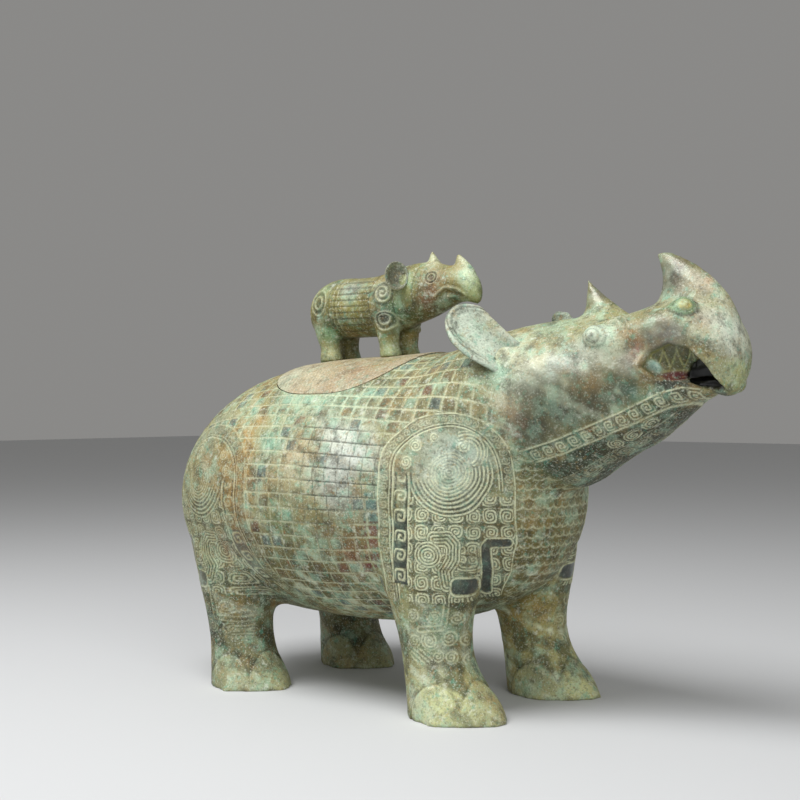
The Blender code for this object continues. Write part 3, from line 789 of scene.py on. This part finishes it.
def face(x, side, z, neck):
    """The head's grooves, pale lines, relief, the places that have a colour of their own, and the spout's
    hole, painted black as shade.
    """
    eye = np.sqrt((x - EYE[0]) ** 2 + (side - EYE[1]) ** 2 + (z - EYE[2]) ** 2)
    eye = eye + 0.7 * wobble(x, side, z, 3.0, 8.0)
    ahead = (x - NOSTRIL[0]) * 0.66 - (side - NOSTRIL[1]) * 0.75
    nose = np.hypot(ahead / 1.35, z - NOSTRIL[2]) + 9 * (np.abs(x - NOSTRIL[0]) > 14)
    grooves = 0.5 * stroke(eye - 5.2, 1.1) + 0.45 * stroke(eye - 9.0, 1.5) + 0.7 * step(2.4 - eye, 0, 1.4)
    grooves = grooves + 0.6 * stroke(nose - 7.2, 1.8) + 0.3 * stroke(nose - 4.4, 0.9)
    lid = step(z - EYE[2], 2, 9)
    folds = lid * (stroke(eye - 19.0, 1.8) + stroke(eye - 23.4, 1.8))
    grooves = grooves + 0.7 * lid * (stroke(eye - 21.2, 1.1) + stroke(eye - 16.9, 0.9))

    lips = np.where((side > 8) & (neck > 0), inside_outline(x, z, MOUTH), -9.0)
    gape = step(lips, -0.4, 1.6)
    lip = stroke(lips + 2.6, 2.8)
    zigzag = np.abs(z - 240 - 9 * (nearest(x / 7.0) * 2 - 0.5))
    tooth = gape * step(1 - np.hypot((x - 188) / 5.0, (z - 236.5 + 0.5 * (x - 188)) / 4.4), 0, 0.5)
    marks = gape * step(z, 233, 235) * (1 - stroke(zigzag, 2.0)) * step(lips, 1, 3) * (1 - tooth)
    spout = np.where((side < 20) & (neck > 0), inside_outline(x, z, SPOUT), -9.0)
    throat = (side < 12) * (x > 190) * (x < 227) * step(z, 222, 224) * (z < 238)
    spout = np.maximum(step(spout, -0.6, 0.3), throat)

    along, beside = beside_path(x, z, JAW)
    drop = beside - 0.8 * np.maximum(0, 33 - side) * (beside < 0)
    on_jaw = step(neck, 4, 12) * step(x, 98, 104) * (x < 212)
    band = (np.abs(beside) < 3.9) * coil(within_cell(along, 9.0), beside, 3.8, 1.9, 1, 4.0)
    edges = stroke(beside - 4.5, 0.9) + stroke(beside + 4.5, 0.9) + 0.5 * stroke(drop + 24.5, 0.9)
    second = (drop < -10.5) * (drop > -24) * (x > 150) * (x < 186)
    third = (drop < -25) * (drop > -40) * (x < 180)
    lines = band + edges + second * coil(within_cell(along - 2, 13.2), drop + 17.3, 6.4, 2.2, -1, 2.4)
    lines = on_jaw * np.clip(lines + 0.5 * third * coil_rows(along, drop + 25, 13.2, 2.4), 0, 1)
    jaw = on_jaw * step(5.2 - beside, 0, 1)
    under = jaw * step(-5.0 - beside, 0, 2)
    chin = step(x, 182, 192) * (x < 227) * step(229 - z, 0, 3) * step(beside, 4.5, 6.0)
    return {
        "eye": eye, "nose": nose, "grooves": np.clip(grooves, 0, 1), "folds": folds, "gape": gape,
        "lip": lip, "marks": marks, "tooth": tooth, "spout": np.clip(spout, 0, 1), "lines": lines,
        "jaw": jaw, "under": under, "chin": chin, "along": along,
    }


# The feet: three broad nails round the front of each, raised a little above the leg and cast with it,
# with a groove round each.
FEET = {
    "leg_front_left": (52, 58), "leg_front_right": (52, -58),
    "leg_rear_left": (-141, 61), "leg_rear_right": (-141, -61),
}
NAILS = ((0.0, 31.0, 28.0), (1.5, 26.0, 26.0), (-1.5, 26.0, 26.0))
FOOT_RADIUS = 34


def nails_of(x, side, z):
    """Distance from the edge of the nails, positive on them."""
    middle_x = np.where(x > -40, FEET["leg_front_left"][0], FEET["leg_rear_left"][0])
    middle_y = np.where(x > -40, FEET["leg_front_left"][1], FEET["leg_rear_left"][1])
    angle = np.arctan2(side - middle_y, x - middle_x)
    edge = np.full(len(x), 9.0)
    for turn, half, tall in NAILS:
        edge = np.minimum(edge, np.hypot((angle - turn) * FOOT_RADIUS / half, z / tall))
    return np.where(z < 45, (1 - edge) * 24, -9.0)


# The whole vessel's skin: all the ornament together, on a ground of olive and celadon with stains where
# earth, wear and handling have left them, so that the colour runs on across the joints. A few pale patches on
# the cheek are painted sheen; painted shade darkens what faces the floor and the rear lower legs, and painted
# light brightens the far front lower leg.
GROUND = (148, 144, 96)
# Painted shade: the near black of the inside of the spout's hole.
SPOUT_HOLE_SHADE = (15.13, 15.13, 15.13)
# Stains and painted sheen. The pale grey patches on the right cheek below the eye, at (126, -48, 236) and
# (140, -46, 238), are painted sheen. The cream one at (152, -44, 244) is cream patina and painted sheen at
# once.
VESSEL_STAINS_AND_SHEEN = (
    (-50, -98, 166, 46, (186, 180, 146), 0.5), (60, -72, 160, 44, (176, 190, 166), 0.55),
    (105, -50, 224, 15, (176, 184, 168), 0.75), (99, -55, 206, 9, (176, 146, 136), 0.7),
    (88, -55, 232, 10, (128, 188, 168), 0.6), (90, -60, 214, 12, (200, 204, 180), 0.6),
    (140, -46, 238, 14, (190, 194, 180), 0.7), (196, -26, 223, 11, (58, 58, 48), 0.9),
    (206, -21, 221, 8, (84, 88, 72), 0.8), (-40, -72, 221, 26, CELADON, 0.75),
    (-85, -70, 214, 22, CELADON, 0.7), (-20, -84, 206, 16, CELADON, 0.4),
    (-114, -90, 184, 25, (182, 142, 78), 0.9), (-116, -92, 156, 23, (178, 136, 74), 0.9),
    (-118, -92, 126, 22, (152, 116, 66), 0.85), (-150, -80, 160, 18, (144, 112, 84), 0.7),
    (-88, -95, 186, 13, (134, 196, 170), 0.7), (-93, -98, 160, 10, SLATE, 0.7),
    (-62, -98, 176, 18, TAN, 0.75), (-17, -92, 176, 25, (222, 230, 222), 0.92),
    (-22, -90, 186, 12, CHALK, 0.7), (-20, -96, 150, 16, (166, 172, 164), 0.7),
    (-74, -101, 128, 18, (112, 140, 104), 0.7), (-40, -98, 124, 16, (122, 116, 70), 0.7),
    (-12, -94, 122, 16, (128, 104, 62), 0.7), (-16, -90, 106, 11, RUST, 0.9),
    (-60, -84, 88, 36, (98, 90, 40), 0.9), (8, -90, 140, 9, SLATE, 0.5), (30, -84, 206, 18, TAN, 0.5),
    (62, -72, 170, 23, (212, 230, 212), 0.95), (26, -84, 170, 14, (176, 164, 128), 0.6),
    (60, -76, 128, 22, (136, 150, 112), 0.6), (95, -45, 130, 28, (124, 112, 54), 0.8),
    (88, -58, 156, 16, (128, 126, 76), 0.6), (100, -20, 110, 24, (116, 106, 48), 0.8),
    (-158, -74, 188, 18, (172, 184, 158), 0.7), (-168, -66, 160, 14, (146, 126, 84), 0.7),
    (-140, -86, 134, 11, (168, 206, 168), 0.8), (-152, -82, 138, 9, (140, 170, 134), 0.7),
    (-136, -86, 106, 10, RUST, 0.8), (-150, -84, 84, 12, (122, 168, 132), 0.7),
    (-146, -80, 62, 28, (98, 100, 58), 0.8), (-135, -82, 64, 14, (176, 160, 92), 0.7),
    (-120, -75, 72, 10, (52, 84, 78), 0.8), (-141, -86, 26, 20, (152, 156, 116), 0.7),
    (50, -84, 82, 14, (140, 132, 76), 0.6), (56, -84, 60, 16, (152, 200, 168), 0.8),
    (52, -86, 32, 14, (168, 168, 156), 0.7), (60, -84, 14, 22, (206, 212, 152), 0.8),
    (86, -60, 26, 10, (70, 92, 92), 0.6), (48, 32, 70, 28, (134, 118, 58), 0.8),
    (60, 34, 16, 12, (62, 70, 58), 0.8), (86, 50, 16, 20, (200, 200, 138), 0.8),
    (92, -46, 250, 20, CREAM, 0.8), (108, -44, 254, 10, (140, 126, 76), 0.8),
    (110, -22, 264, 16, CELADON, 0.5), (151, -43, 257, 18, (202, 224, 202), 0.9),
    (152, -44, 244, 14, (214, 216, 192), 0.85), (170, -36, 254, 9, CREAM, 0.5),
    (126, -48, 236, 13, (160, 172, 164), 0.8), (129, -49, 212, 22, (56, 60, 50), 0.97),
    (112, -50, 198, 16, (54, 54, 42), 0.95), (150, -42, 212, 17, (58, 60, 48), 0.95),
    (168, -38, 222, 16, (68, 70, 58), 0.9), (150, -43, 228, 10, (122, 104, 72), 0.8),
    (96, -54, 196, 4, (150, 62, 52), 0.9), (104, -52, 199, 3, (150, 62, 52), 0.7),
    (197, -29, 254, 14, (138, 138, 142), 0.85), (172, -36, 240, 9, (150, 152, 146), 0.7),
    (178, -34, 247, 6, (172, 104, 98), 0.85), (176, -36, 258, 7, (156, 116, 72), 0.75),
    (220, -24, 266, 6, (150, 106, 62), 0.8), (192, -30, 271, 7, (110, 106, 66), 0.7),
    (184, -30, 226, 11, (58, 62, 54), 0.9), (178, -33, 218, 7, (72, 124, 112), 0.7),
    (150, -34, 194, 12, (104, 112, 76), 0.7), (186, -28, 208, 12, (122, 138, 92), 0.7),
    (108, -36, 176, 13, (92, 142, 116), 0.7), (165, -22, 188, 12, (112, 96, 58), 0.6),
    (231, -8, 254, 22, (232, 240, 220), 0.95), (233, -6, 231, 12, (188, 202, 140), 0.85),
    (212, -8, 289, 14, (198, 192, 172), 0.8), (214, -4, 292, 6, (196, 150, 104), 0.6),
    (189, -6, 297, 15, (98, 94, 88), 0.95), (184, -6, 284, 9, (84, 82, 72), 0.9),
    (130, -3, 287, 11, (108, 106, 92), 0.9),
)


def vessel_drawing(x, y, z, normals):
    """Relief and look of the whole vessel at points given in millimetres."""
    side = np.abs(y)
    neck = (x - MILLIMETRES * NECK_POINT.x) * NECK_NORMAL.x
    neck = neck + (z - MILLIMETRES * NECK_POINT.z) * NECK_NORMAL.z
    turned_in = 0.12 * step(100 - z, 0, 30)
    front = x > -48
    facing = normals[:, 1] * np.sign(y) + 0.4 * np.maximum(0, normals[:, 0]) * front
    outward = step(facing - turned_in, -0.05, 0.25)
    ahead = (x - SHOULDER[0]) * 0.866 - (side - SHOULDER[1]) * 0.5
    behind = -((x - HAUNCH[0]) * 0.8 + (side - HAUNCH[1]) * 0.6)
    across = np.where(front, ahead, behind) + 0.8 * wobble(x, y, z, 6, 21.0)
    up = z - np.where(front, SHOULDER[2], HAUNCH[2]) + 0.8 * wobble(x, y, z, 6, 22.0)
    lines, gloom, black, covered = panel(across, up)
    fade = step(z, 34, 42) * step(12 - neck, 0, 8) * outward
    lines = lines * fade * np.where(front, 1.0, 0.52)
    gloom = gloom * fade * np.where(front, 1.0, 0.85)
    black = black * fade * np.where(front, 1.0, 0.7 * (z < 120))
    covered = covered * fade

    grooves, inner, number = scales(x, y, z)
    chest = front & (ahead > 40) & (x > 40)
    by_leg = step(106 - z, 0, 14) * (np.minimum(np.abs(x - 52), np.abs(x + 141)) < 46) * (side > 20)
    clear = (1 - covered) * step(-neck, -14, 0) * (1 - by_leg)
    fish = np.where(chest, fish_scales(x, y, z), 0) * clear
    plain = ~chest * clear
    grooves = grooves * plain
    pillow = plain * (1 - step(inner, 0.25, 0.5))

    marks = face(x, side, z, neck)
    head = neck > 0
    nail = nails_of(x, side, z)
    rims = stroke(nail, 1.2)
    nails = step(nail, 0, 3)

    height = 0.25 * pillow - 0.35 * grooves + 0.35 * fish + 0.45 * lines - 0.25 * gloom - 0.25 * black
    height = height - 0.7 * marks["grooves"] * head + 2.0 * marks["folds"] * head + 0.45 * marks["lines"]
    height = height - 4.8 * marks["gape"] + 2.0 * marks["lip"] * head
    height = height - 0.8 * marks["marks"] - 4.0 * marks["spout"]
    height = height + 1.2 * step(5.0 - marks["eye"], 0, 4) * head
    height = height + 0.4 * step(3.5 - marks["nose"], 0, 3) * head + 0.8 * nails - 0.5 * rims
    height = height + 0.10 * wobble(x, y, z, 1.9, 5.0) * (1 - nails)

    blotch = wobble(x, y, z, 9, 11.0) + 0.7 * wobble(x, y, z, 4.1, 12.0) + 0.7 * wobble(x, y, z, 2.3, 13.0)
    legs = 1 - 0.6 * step(z, 80, 120)
    middle = plain * step(0.42 - inner, 0, 0.06)
    net = middle * step(z, 192, 204) * step(x + 0.6 * (z - 210), -52, -34)
    edge = middle * front * (ahead > -61) * (z > 100)
    tint = tinted(
        in_shadow(stained(x, y, z, GROUND, VESSEL_STAINS_AND_SHEEN), normals),
        (0.75 * legs * step(blotch, 0.25, 0.9), (66, 70, 44)),
        (0.65 * legs * step(-blotch, 0.35, 1.0), (204, 214, 184)),
        (0.65 * net, (112, 108, 72)),
        (0.75 * middle * (number > 0.91), SLATE),
        (0.55 * middle * (number < 0.035), WINE),
        (0.42 * middle * (number > 0.45) * (number < 0.54), (154, 198, 172)),
        (0.55 * middle * (number > 0.20) * (number < 0.32), (104, 84, 54)),
        (0.75 * edge * (z < 152) * (z > 133), (88, 124, 120)),
        (0.75 * edge * (z < 133), WINE),
        (0.95 * black, (40, 48, 46)),
        (0.45 * chest * clear * (1 - fish), (92, 84, 44)),
        (0.55 * marks["jaw"] * (marks["along"] < 46), (84, 140, 116)),
        (0.85 * marks["under"], (70, 70, 44)),
    )
    # Painted shade on the rear lower legs and painted light on the far front lower leg, as factors on the
    # tint; the jaw band is darkened as well.
    low = step(100 - z, 0, 30)
    shade = 1 - 0.35 * marks["jaw"] - 0.42 * step(-x, 100, 125) * low
    shade = shade + 0.35 * step(x, 0, 30) * step(y, 0, 20) * low
    gum = step(1 - np.hypot((x - 199) / 9, (z - 230) / 4.5), 0, 0.5) * (side > 12) * head
    tint = tinted(
        tint * shade[:, None],
        (0.8 * marks["gape"], (172, 172, 108)),
        (marks["gape"] * step(234 - z, 0, 2), (72, 70, 62)),
        (0.85 * marks["chin"] * head, (54, 58, 48)),
        (0.9 * gum, (98, 30, 34)),
        (marks["tooth"], (146, 184, 168)),
        (0.8 * head * step(7.0 - marks["nose"], 0, 1), (132, 164, 118)),
        (0.9 * head * step(4.2 - marks["nose"], 0, 2), (196, 178, 104)),
        (0.35 * nails, (196, 202, 156)),
        # The spout's hole and the throat behind it painted black as shade.
        (marks["spout"], SPOUT_HOLE_SHADE),
    )

    polish = np.zeros(len(x))
    for px, py, pz, radius in POLISHED:
        near = np.exp(-((x - px) ** 2 + (side - py) ** 2 + (z - pz) ** 2) / radius ** 2)
        polish = np.maximum(polish, np.clip(1.5 * near, 0, 1))
    polish = np.maximum(polish * (1 - marks["jaw"]), np.maximum(2 * marks["spout"], 1.3 * black))
    far = np.hypot((x + 24) / 46, (z - 166) / 36) + 0.5 * wobble(x, y, z, 13, 4.0)
    bright = step(far, 0.7, 1.4)
    dark = gloom + 0.25 * marks["jaw"] * (1 - marks["lines"]) + grooves * (1 - 0.75 * bright)
    dark = dark + marks["grooves"] * head + 0.8 * marks["marks"] + 0.45 * rims
    pale = lines + 0.75 * grooves * bright + 0.55 * fish + 0.8 * marks["lines"]
    return drawn_as(height, np.clip(tint, 0, 1), dark, pale, polish)


# The trunk: a hollow casting in six sections of a piece mould, shoulder, flank and haunch on the left
# and on the right, with the opening for the lid in its back.
WALL = 0.0055
vessel_finish = patina("green_bronze", 0.5, 0.45, 0.55, 0.75, 0.62, 0.30)


def trunk_section(ahead, behind, left):
    def belongs(place):
        return (
            above_legs(place) > 0 and ahead_of_neck(place) < 0 and outside_lid(place) > 0
            and (ahead_of_mould_line(place) > 0) == ahead and (behind_haunch_line(place) > 0) == behind
            and (place.y > 0) == left
        )
    return belongs


for name, ahead, behind, left in (
    ("trunk_front_left", True, False, True), ("trunk_front_right", True, False, False),
    ("trunk_middle_left", False, False, True), ("trunk_middle_right", False, False, False),
    ("trunk_rear_left", False, True, True), ("trunk_rear_right", False, True, False),
):
    section = patch(skin, trunk_section(ahead, behind, left))
    finished(name, section, WALL, 3, vessel_drawing, vessel_finish, "vessel", ("body_shell",))


# The lower legs: stout solid castings under the trunk, square on the floor, each cast on at a flat
# joint above the foot.
def leg_section(middle):
    def belongs(place):
        return above_legs(place) < 0 and (place.x > 0) == (middle[0] > 0) and (place.y > 0) == (middle[1] > 0)
    return belongs


for name, middle in FEET.items():
    section = patch(skin, leg_section(middle))
    finished(name, section, 0, 2, vessel_drawing, vessel_finish, "vessel", (name,))

# The head: neck, cheeks, lips and beak in one casting, polished dark by handling, in two halves of a
# mould, with the nose horn and the brow horn cast on.
HEAD_WALL = 0.0025
NOSE_HORN_FROM = 0.15
BROW_HORN_SPAN = (0.09, 0.142)


def nose_horn_part(place):
    return above_snout(place) > 0 and place.x > NOSE_HORN_FROM and ahead_of_neck(place) > 0


def brow_horn_part(place):
    on_brow = BROW_HORN_SPAN[0] < place.x < BROW_HORN_SPAN[1] and ahead_of_neck(place) > 0
    return above_brow(place) > 0 and on_brow and not nose_horn_part(place)


def head_half(left):
    def belongs(place):
        return (
            ahead_of_neck(place) > 0 and above_legs(place) > 0 and (place.y > 0) == left
            and not nose_horn_part(place) and not brow_horn_part(place)
        )
    return belongs


for name, belongs, wall, node in (
    ("head_left", head_half(True), HEAD_WALL, "head"), ("head_right", head_half(False), HEAD_WALL, "head"),
    ("nose_horn", nose_horn_part, 0, "nose_horn"), ("brow_horn", brow_horn_part, 0, "brow_horn"),
):
    section = patch(skin, belongs)
    finished(name, section, wall, 3, vessel_drawing, vessel_finish, "vessel", (node,))

# The lid: a curved oval plate, worn to tan metal on top and scratched by use, that lies in the opening
# in the back with a narrow gap all round.
LID_WALL = 0.005
LID_SHRINK = 0.988
LID_PROUD = 0.8
LID_GROUND = (180, 164, 134)
LID_STAINS = (
    (-112, -45, 224, 18, CREAM, 0.8), (-80, -50, 232, 18, (206, 196, 160), 0.7),
    (-48, -46, 240, 16, (168, 132, 96), 0.6), (-70, -20, 248, 20, (168, 146, 104), 0.7),
    (-30, -30, 246, 14, (150, 140, 96), 0.7),
)


def lid_drawing(x, y, z, normals):
    flat = np.zeros(len(x))
    scratch = stripes(x + 0.55 * y + 2 * wobble(x, y, z, 9, 3.0), 3.1, 0.8)
    streak = step(wobble(x + 0.6 * y, 0.2 * y, z, 4.0, 6.0), 0.35, 0.8)
    tint = tinted(stained(x, y, z, LID_GROUND, LID_STAINS), (0.4 * streak, (150, 116, 80)))
    return drawn_as(flat + LID_PROUD, tint, 0.22 * scratch, 0.2 * streak, flat + 0.2)


lid_finish = patina("worn_bronze", 0.25, 0.4, 0.4, 0.9, 0.6, 0.4)
lid_section = patch(skin, lambda place: outside_lid(place) < 0)
for vert in lid_section.verts:
    vert.co.x = LID_MIDDLE + (vert.co.x - LID_MIDDLE) * LID_SHRINK
    vert.co.y *= LID_SHRINK
finished("lid_plate", lid_section, LID_WALL, 2, lid_drawing, lid_finish, "lid", ("lid_plate",))

# The lid's seat: a ledge cast inside the opening, on which the plate rests, and the flange under the
# plate that drops inside the ledge and keeps the lid from sliding off. Each is an oval ring: how far
# in its outer and inner edges lie, how deep below the back it begins, and how far down it goes.
LEDGE = (-0.004, 0.008, 0.0054, 0.0036)
FLANGE = (0.0086, 0.0126, 0.004, 0.012)
SHARP = 0.6
STEEPEST = 0.5


def oval_ring(outer, inner, sunk, depth):
    """A ring of the back between two ovals, sunk below the surface and drawn straight down."""
    for inset in (outer, inner):
        score(skin, lambda place: outside_lid(place, inset))
    ring = patch(skin, lambda place: outside_lid(place, outer) < 0 < outside_lid(place, inner))
    ring.normal_update()
    for vert in ring.verts:
        vert.co.z -= sunk / max(vert.normal.z, STEEPEST)
    drawn = bmesh.ops.extrude_face_region(ring, geom=ring.faces[:])["geom"]
    lower = [item for item in drawn if isinstance(item, bmesh.types.BMVert)]
    bmesh.ops.translate(ring, verts=lower, vec=(0, 0, -depth))
    bmesh.ops.recalc_face_normals(ring, faces=ring.faces[:])
    for edge in ring.edges:
        edge.smooth = edge.calc_face_angle(0.0) < SHARP
    return ring


def seat_drawing(x, y, z, normals):
    flat = np.zeros(len(x))
    tint = tinted(stained(x, y, z, OLIVE, ()), (0.5 * step(wobble(x, y, z, 7, 9.0), 0, 0.9), CELADON))
    return drawn_as(flat, tint, flat + 0.1, flat, flat)


seat = oval_ring(*LEDGE)
finished("lid_seat", seat, 0, 0, seat_drawing, vessel_finish, "vessel", ("body_shell",))
flange = oval_ring(*FLANGE)
finished("lid_flange", flange, 0, 0, seat_drawing, lid_finish, "lid", ("lid_plate",))
skin.free()

# The calf that stands on the lid as its handle: trunk, legs, head and horns in one small casting,
# with rows of ribs on its sides and coils on shoulder and haunch.
CALF_GRAIN = 0.0013
CALF_NODES = ("calf", "calf_nose_horn", "calf_brow_horn")
CALF_EYE = (-5.5, 303.5)
CALF_COIL = (-45, 293.5)
CALF_HEART = (-43.5, 275.5)
CALF_HAUNCH = (-108, 288.5)
CALF_MOUTH = ((1, 288.5), (7, 292.5), (14, 291.5), (19, 288))
CALF_SEAMS = ((-57, 266, 310), (-37, 270, 308), (-97, 276, 309), (-21, 282, 312))
CALF_GROUND = (126, 120, 68)
CALF_STAINS = (
    (-6, -12, 299, 11, (138, 112, 84), 0.9), (-10, -12, 288, 9, (126, 84, 62), 0.85),
    (4, -8, 288, 7, (110, 76, 44), 0.8), (22, -3, 306, 10, (196, 214, 180), 0.9),
    (25, -2, 292, 8, (190, 208, 150), 0.85), (16, 0, 318, 7, (190, 204, 168), 0.8),
    (-10, 0, 318, 8, (204, 204, 166), 0.85), (-24, -10, 302, 10, (150, 172, 124), 0.7),
    (-22, -8, 280, 9, (56, 88, 60), 0.8), (-105, -18, 300, 10, (160, 186, 140), 0.6),
    (-78, -22, 298, 9, (172, 184, 176), 0.75), (-76, -22, 284, 10, (150, 146, 80), 0.7),
    (-75, -18, 270, 10, (118, 120, 40), 0.8), (-36, -18, 280, 11, (92, 140, 104), 0.8),
    (-108, -15, 272, 8, (96, 66, 48), 0.7), (-98, -16, 268, 8, (84, 150, 110), 0.7),
    (-44, -20, 277, 8, (86, 82, 78), 0.85), (-46, -18, 294, 8, (172, 178, 156), 0.7),
    (-100, -16, 248, 12, (176, 184, 140), 0.7), (-42, -14, 250, 12, (168, 188, 146), 0.7),
    (-88, 10, 258, 10, (60, 66, 44), 0.7), (-28, 8, 262, 12, (112, 108, 60), 0.7),
)


def calf_drawing(x, y, z, normals):
    side = np.abs(y)
    outer = side > 5
    torso = step(x, -96, -93) * step(-56 - x, 0, 2) * (z > 258)
    ribs = torso * stripes(z + 0.5, 4.6, 1.2)
    bars = torso * stroke(np.minimum(np.abs(x + 92), np.abs(x + 88)), 0.9)
    coil_reach = np.hypot(x - CALF_COIL[0], z - CALF_COIL[1])
    heart_tall = np.where(z > CALF_HEART[1], 4.4, 9.6)
    heart = np.hypot((x - CALF_HEART[0]) / 7.4, (z - CALF_HEART[1]) / heart_tall)
    haunch = np.hypot((x - CALF_HAUNCH[0]) / 8.6, (z - CALF_HAUNCH[1]) / 9.6)
    eye = np.hypot(x - CALF_EYE[0], 1.1 * (z - CALF_EYE[1])) + 9 * (side < 6)
    ridges = coils(x, z, ((*CALF_COIL, 8.6, 3.6, 1),))
    for reach, size in ((heart, 7.4), (heart + 0.45, 7.4), (haunch, 7.0), (haunch + 0.5, 7.0)):
        ridges = np.maximum(ridges, stroke((reach - 1) * size, 1.3))
    ridges = np.maximum(ridges * outer, stroke(eye - 5.4, 1.1) + stroke(eye - 2.9, 0.9))
    raised = outer * np.maximum(step(9.4 - coil_reach, 0, 0.8), step(1.15 - heart, 0, 0.12))
    sunk = outer * np.maximum(raised, step(1.2 - haunch, 0, 0.12)) + step(6.4 - eye, 0, 0.8)
    sunk = np.clip(sunk, 0, 1) * (1 - np.clip(ridges, 0, 1))
    for edge, low, high in CALF_SEAMS:
        seam = stroke(x - edge - 0.04 * (z - 290) ** 2 / 10, 1.0) * (z > low) * (z < high) * outer
        sunk = np.maximum(sunk, seam)
    beside = np.abs(beside_path(x, z, CALF_MOUTH)[1])
    gape = stroke(beside + 9 * (side < 3), 2.8)
    lip = stroke(beside - 3.4 + 9 * (side < 3), 1.6) * (z > 289)
    height = 0.8 * raised + 0.5 * ridges - 0.5 * sunk - 0.4 * ribs + 0.3 * bars - 1.8 * gape + 0.7 * lip
    tint = in_shadow(stained(x, y, z, CALF_GROUND, CALF_STAINS), normals)
    tint = tinted(tint, (0.7 * gape, (132, 112, 40)))
    pale = 0.3 * bars + 0.4 * lip + 0.3 * ridges
    return drawn_as(height, tint, 0.6 * sunk + 0.6 * ribs, pale, np.full(len(x), 0.3))


calf_finish = patina("calf_bronze", 0.4, 0.4, 0.55, 0.65, 0.55, 0.4)
calf_skin = whole_skin("calf_skin", CALF_NODES, CALF_GRAIN)
eased(calf_skin, list(calf_skin.verts), 5)
finished("calf", calf_skin, 0, 1, calf_drawing, calf_finish, "lid", CALF_NODES)

# The ears and tails: small castings of their own, hollowed like scoops, the vessel's ears pale with
# two lines along the rim, the calf's dark inside.
EAR_SINK = 0.014
EAR_BEND = 0.38
CALF_EAR = (0.009, 0.0062, 0.0112)
CALF_EAR_WALL = 0.0018
CALF_EAR_OPENS = (0.72, 0.62, 0.30)
CALF_EAR_SHIFT = Vector((-0.0025, 0.0, 0.0018))


def ear_drawing(x, y, z, normals):
    side = np.abs(y)
    axis = EAR_TIP - EAR_ROOT
    along = axis.normalized()
    width = EAR_OPENS.cross(along)
    places = np.stack((x, side, z), axis=1) / MILLIMETRES - np.array((EAR_ROOT + EAR_TIP) / 2)
    faces = np.stack((normals[:, 0], normals[:, 1] * np.sign(y), normals[:, 2]), axis=1)
    reach = np.hypot(places @ np.array(along) / (axis.length / 2), places @ np.array(width) / EAR_HALF)
    open_side = step(faces @ np.array(EAR_OPENS), 0.1, 0.5)
    rims = stroke((reach - 0.97) * 16, 0.9) + stroke((reach - 0.85) * 16, 1.0)
    rims = rims + 0.5 * stroke((reach - 0.74) * 16, 0.8)
    lines = np.clip(rims, 0, 1) * (0.5 + 0.5 * open_side) * step(places @ np.array(along), -0.012, 0.0)
    # The back of the ear, turned to the neck, is darkened grey-green: painted shade between ear and neck.
    tint = tinted(stained(x, y, z, (196, 208, 188), ()), (0.7 * (1 - open_side), (92, 108, 88)))
    return drawn_as(-0.5 * lines, tint, 0.85 * lines, np.zeros(len(x)), np.full(len(x), 0.15))


def sink_root(ear):
    """Bends the root of an ear into the neck, so that its edges run out under the skin there."""
    axis = EAR_TIP - EAR_ROOT
    for vert in ear.verts:
        hand = 1 if vert.co.y > 0 else -1
        place = Vector((vert.co.x, abs(vert.co.y), vert.co.z))
        share = (place - EAR_ROOT).dot(axis) / axis.length_squared
        place -= EAR_OPENS * EAR_SINK * max(0.0, 1 - share / EAR_BEND) ** 2
        vert.co = Vector((place.x, hand * place.y, place.z))


def calf_ear_drawing(x, y, z, normals):
    flat = np.zeros(len(x))
    ahead = normals[:, 0] * 0.66 + normals[:, 1] * np.sign(y) * 0.66 + normals[:, 2] * 0.26
    tint = tinted(stained(x, y, z, (166, 168, 138), ()), (0.75 * step(ahead, 0.3, 0.8), (74, 76, 64)))
    return drawn_as(flat, tint, flat, flat, flat + 0.2)


def tail_drawing(x, y, z, normals):
    flat = np.zeros(len(x))
    return drawn_as(flat, stained(x, y, z, OLIVE, ()), flat, flat, flat)


def calf_ear(name):
    """A cup: half a squashed ball, open to the front and outwards, with a wall."""
    box = [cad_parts[name].matrix_world @ Vector(corner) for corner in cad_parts[name].bound_box]
    middle = sum(box, Vector()) / 8 + CALF_EAR_SHIFT
    hand = 1 if middle.y > 0 else -1
    cup = bmesh.new()
    bmesh.ops.create_uvsphere(cup, u_segments=36, v_segments=18, radius=1.0)
    everything = cup.verts[:] + cup.edges[:] + cup.faces[:]
    bmesh.ops.bisect_plane(cup, geom=everything, plane_co=(0, 0.25, 0), plane_no=(0, 1, 0), clear_outer=True)
    bmesh.ops.scale(cup, vec=CALF_EAR, verts=cup.verts)
    bmesh.ops.solidify(cup, geom=cup.faces[:], thickness=CALF_EAR_WALL)
    opens = Vector((CALF_EAR_OPENS[0], hand * CALF_EAR_OPENS[1], CALF_EAR_OPENS[2]))
    turn = opens.to_track_quat("Y", "Z").to_matrix()
    bmesh.ops.rotate(cup, cent=(0, 0, 0), matrix=turn, verts=cup.verts)
    bmesh.ops.translate(cup, vec=middle, verts=cup.verts)
    bmesh.ops.recalc_face_normals(cup, faces=cup.faces)
    return cup


for name, drawing, body, slot, finish in (
    ("ear_left", ear_drawing, "vessel", "pale_patina", vessel_finish),
    ("ear_right", ear_drawing, "vessel", "pale_patina", vessel_finish),
    ("tail", tail_drawing, "vessel", "green_patina", vessel_finish),
    ("calf_ear_left", calf_ear_drawing, "lid", "calf_patina", calf_finish),
    ("calf_ear_right", calf_ear_drawing, "lid", "calf_patina", calf_finish),
    ("calf_tail", tail_drawing, "lid", "calf_patina", calf_finish),
):
    if drawing is calf_ear_drawing:
        copy = calf_ear(name)
    else:
        copy = bmesh.new()
        copy.from_mesh(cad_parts[name].data)
        bmesh.ops.remove_doubles(copy, verts=copy.verts, dist=1e-6)
    if drawing is ear_drawing:
        sink_root(copy)
    finished(name, copy, 0, 2, drawing, finish, body, (name,))
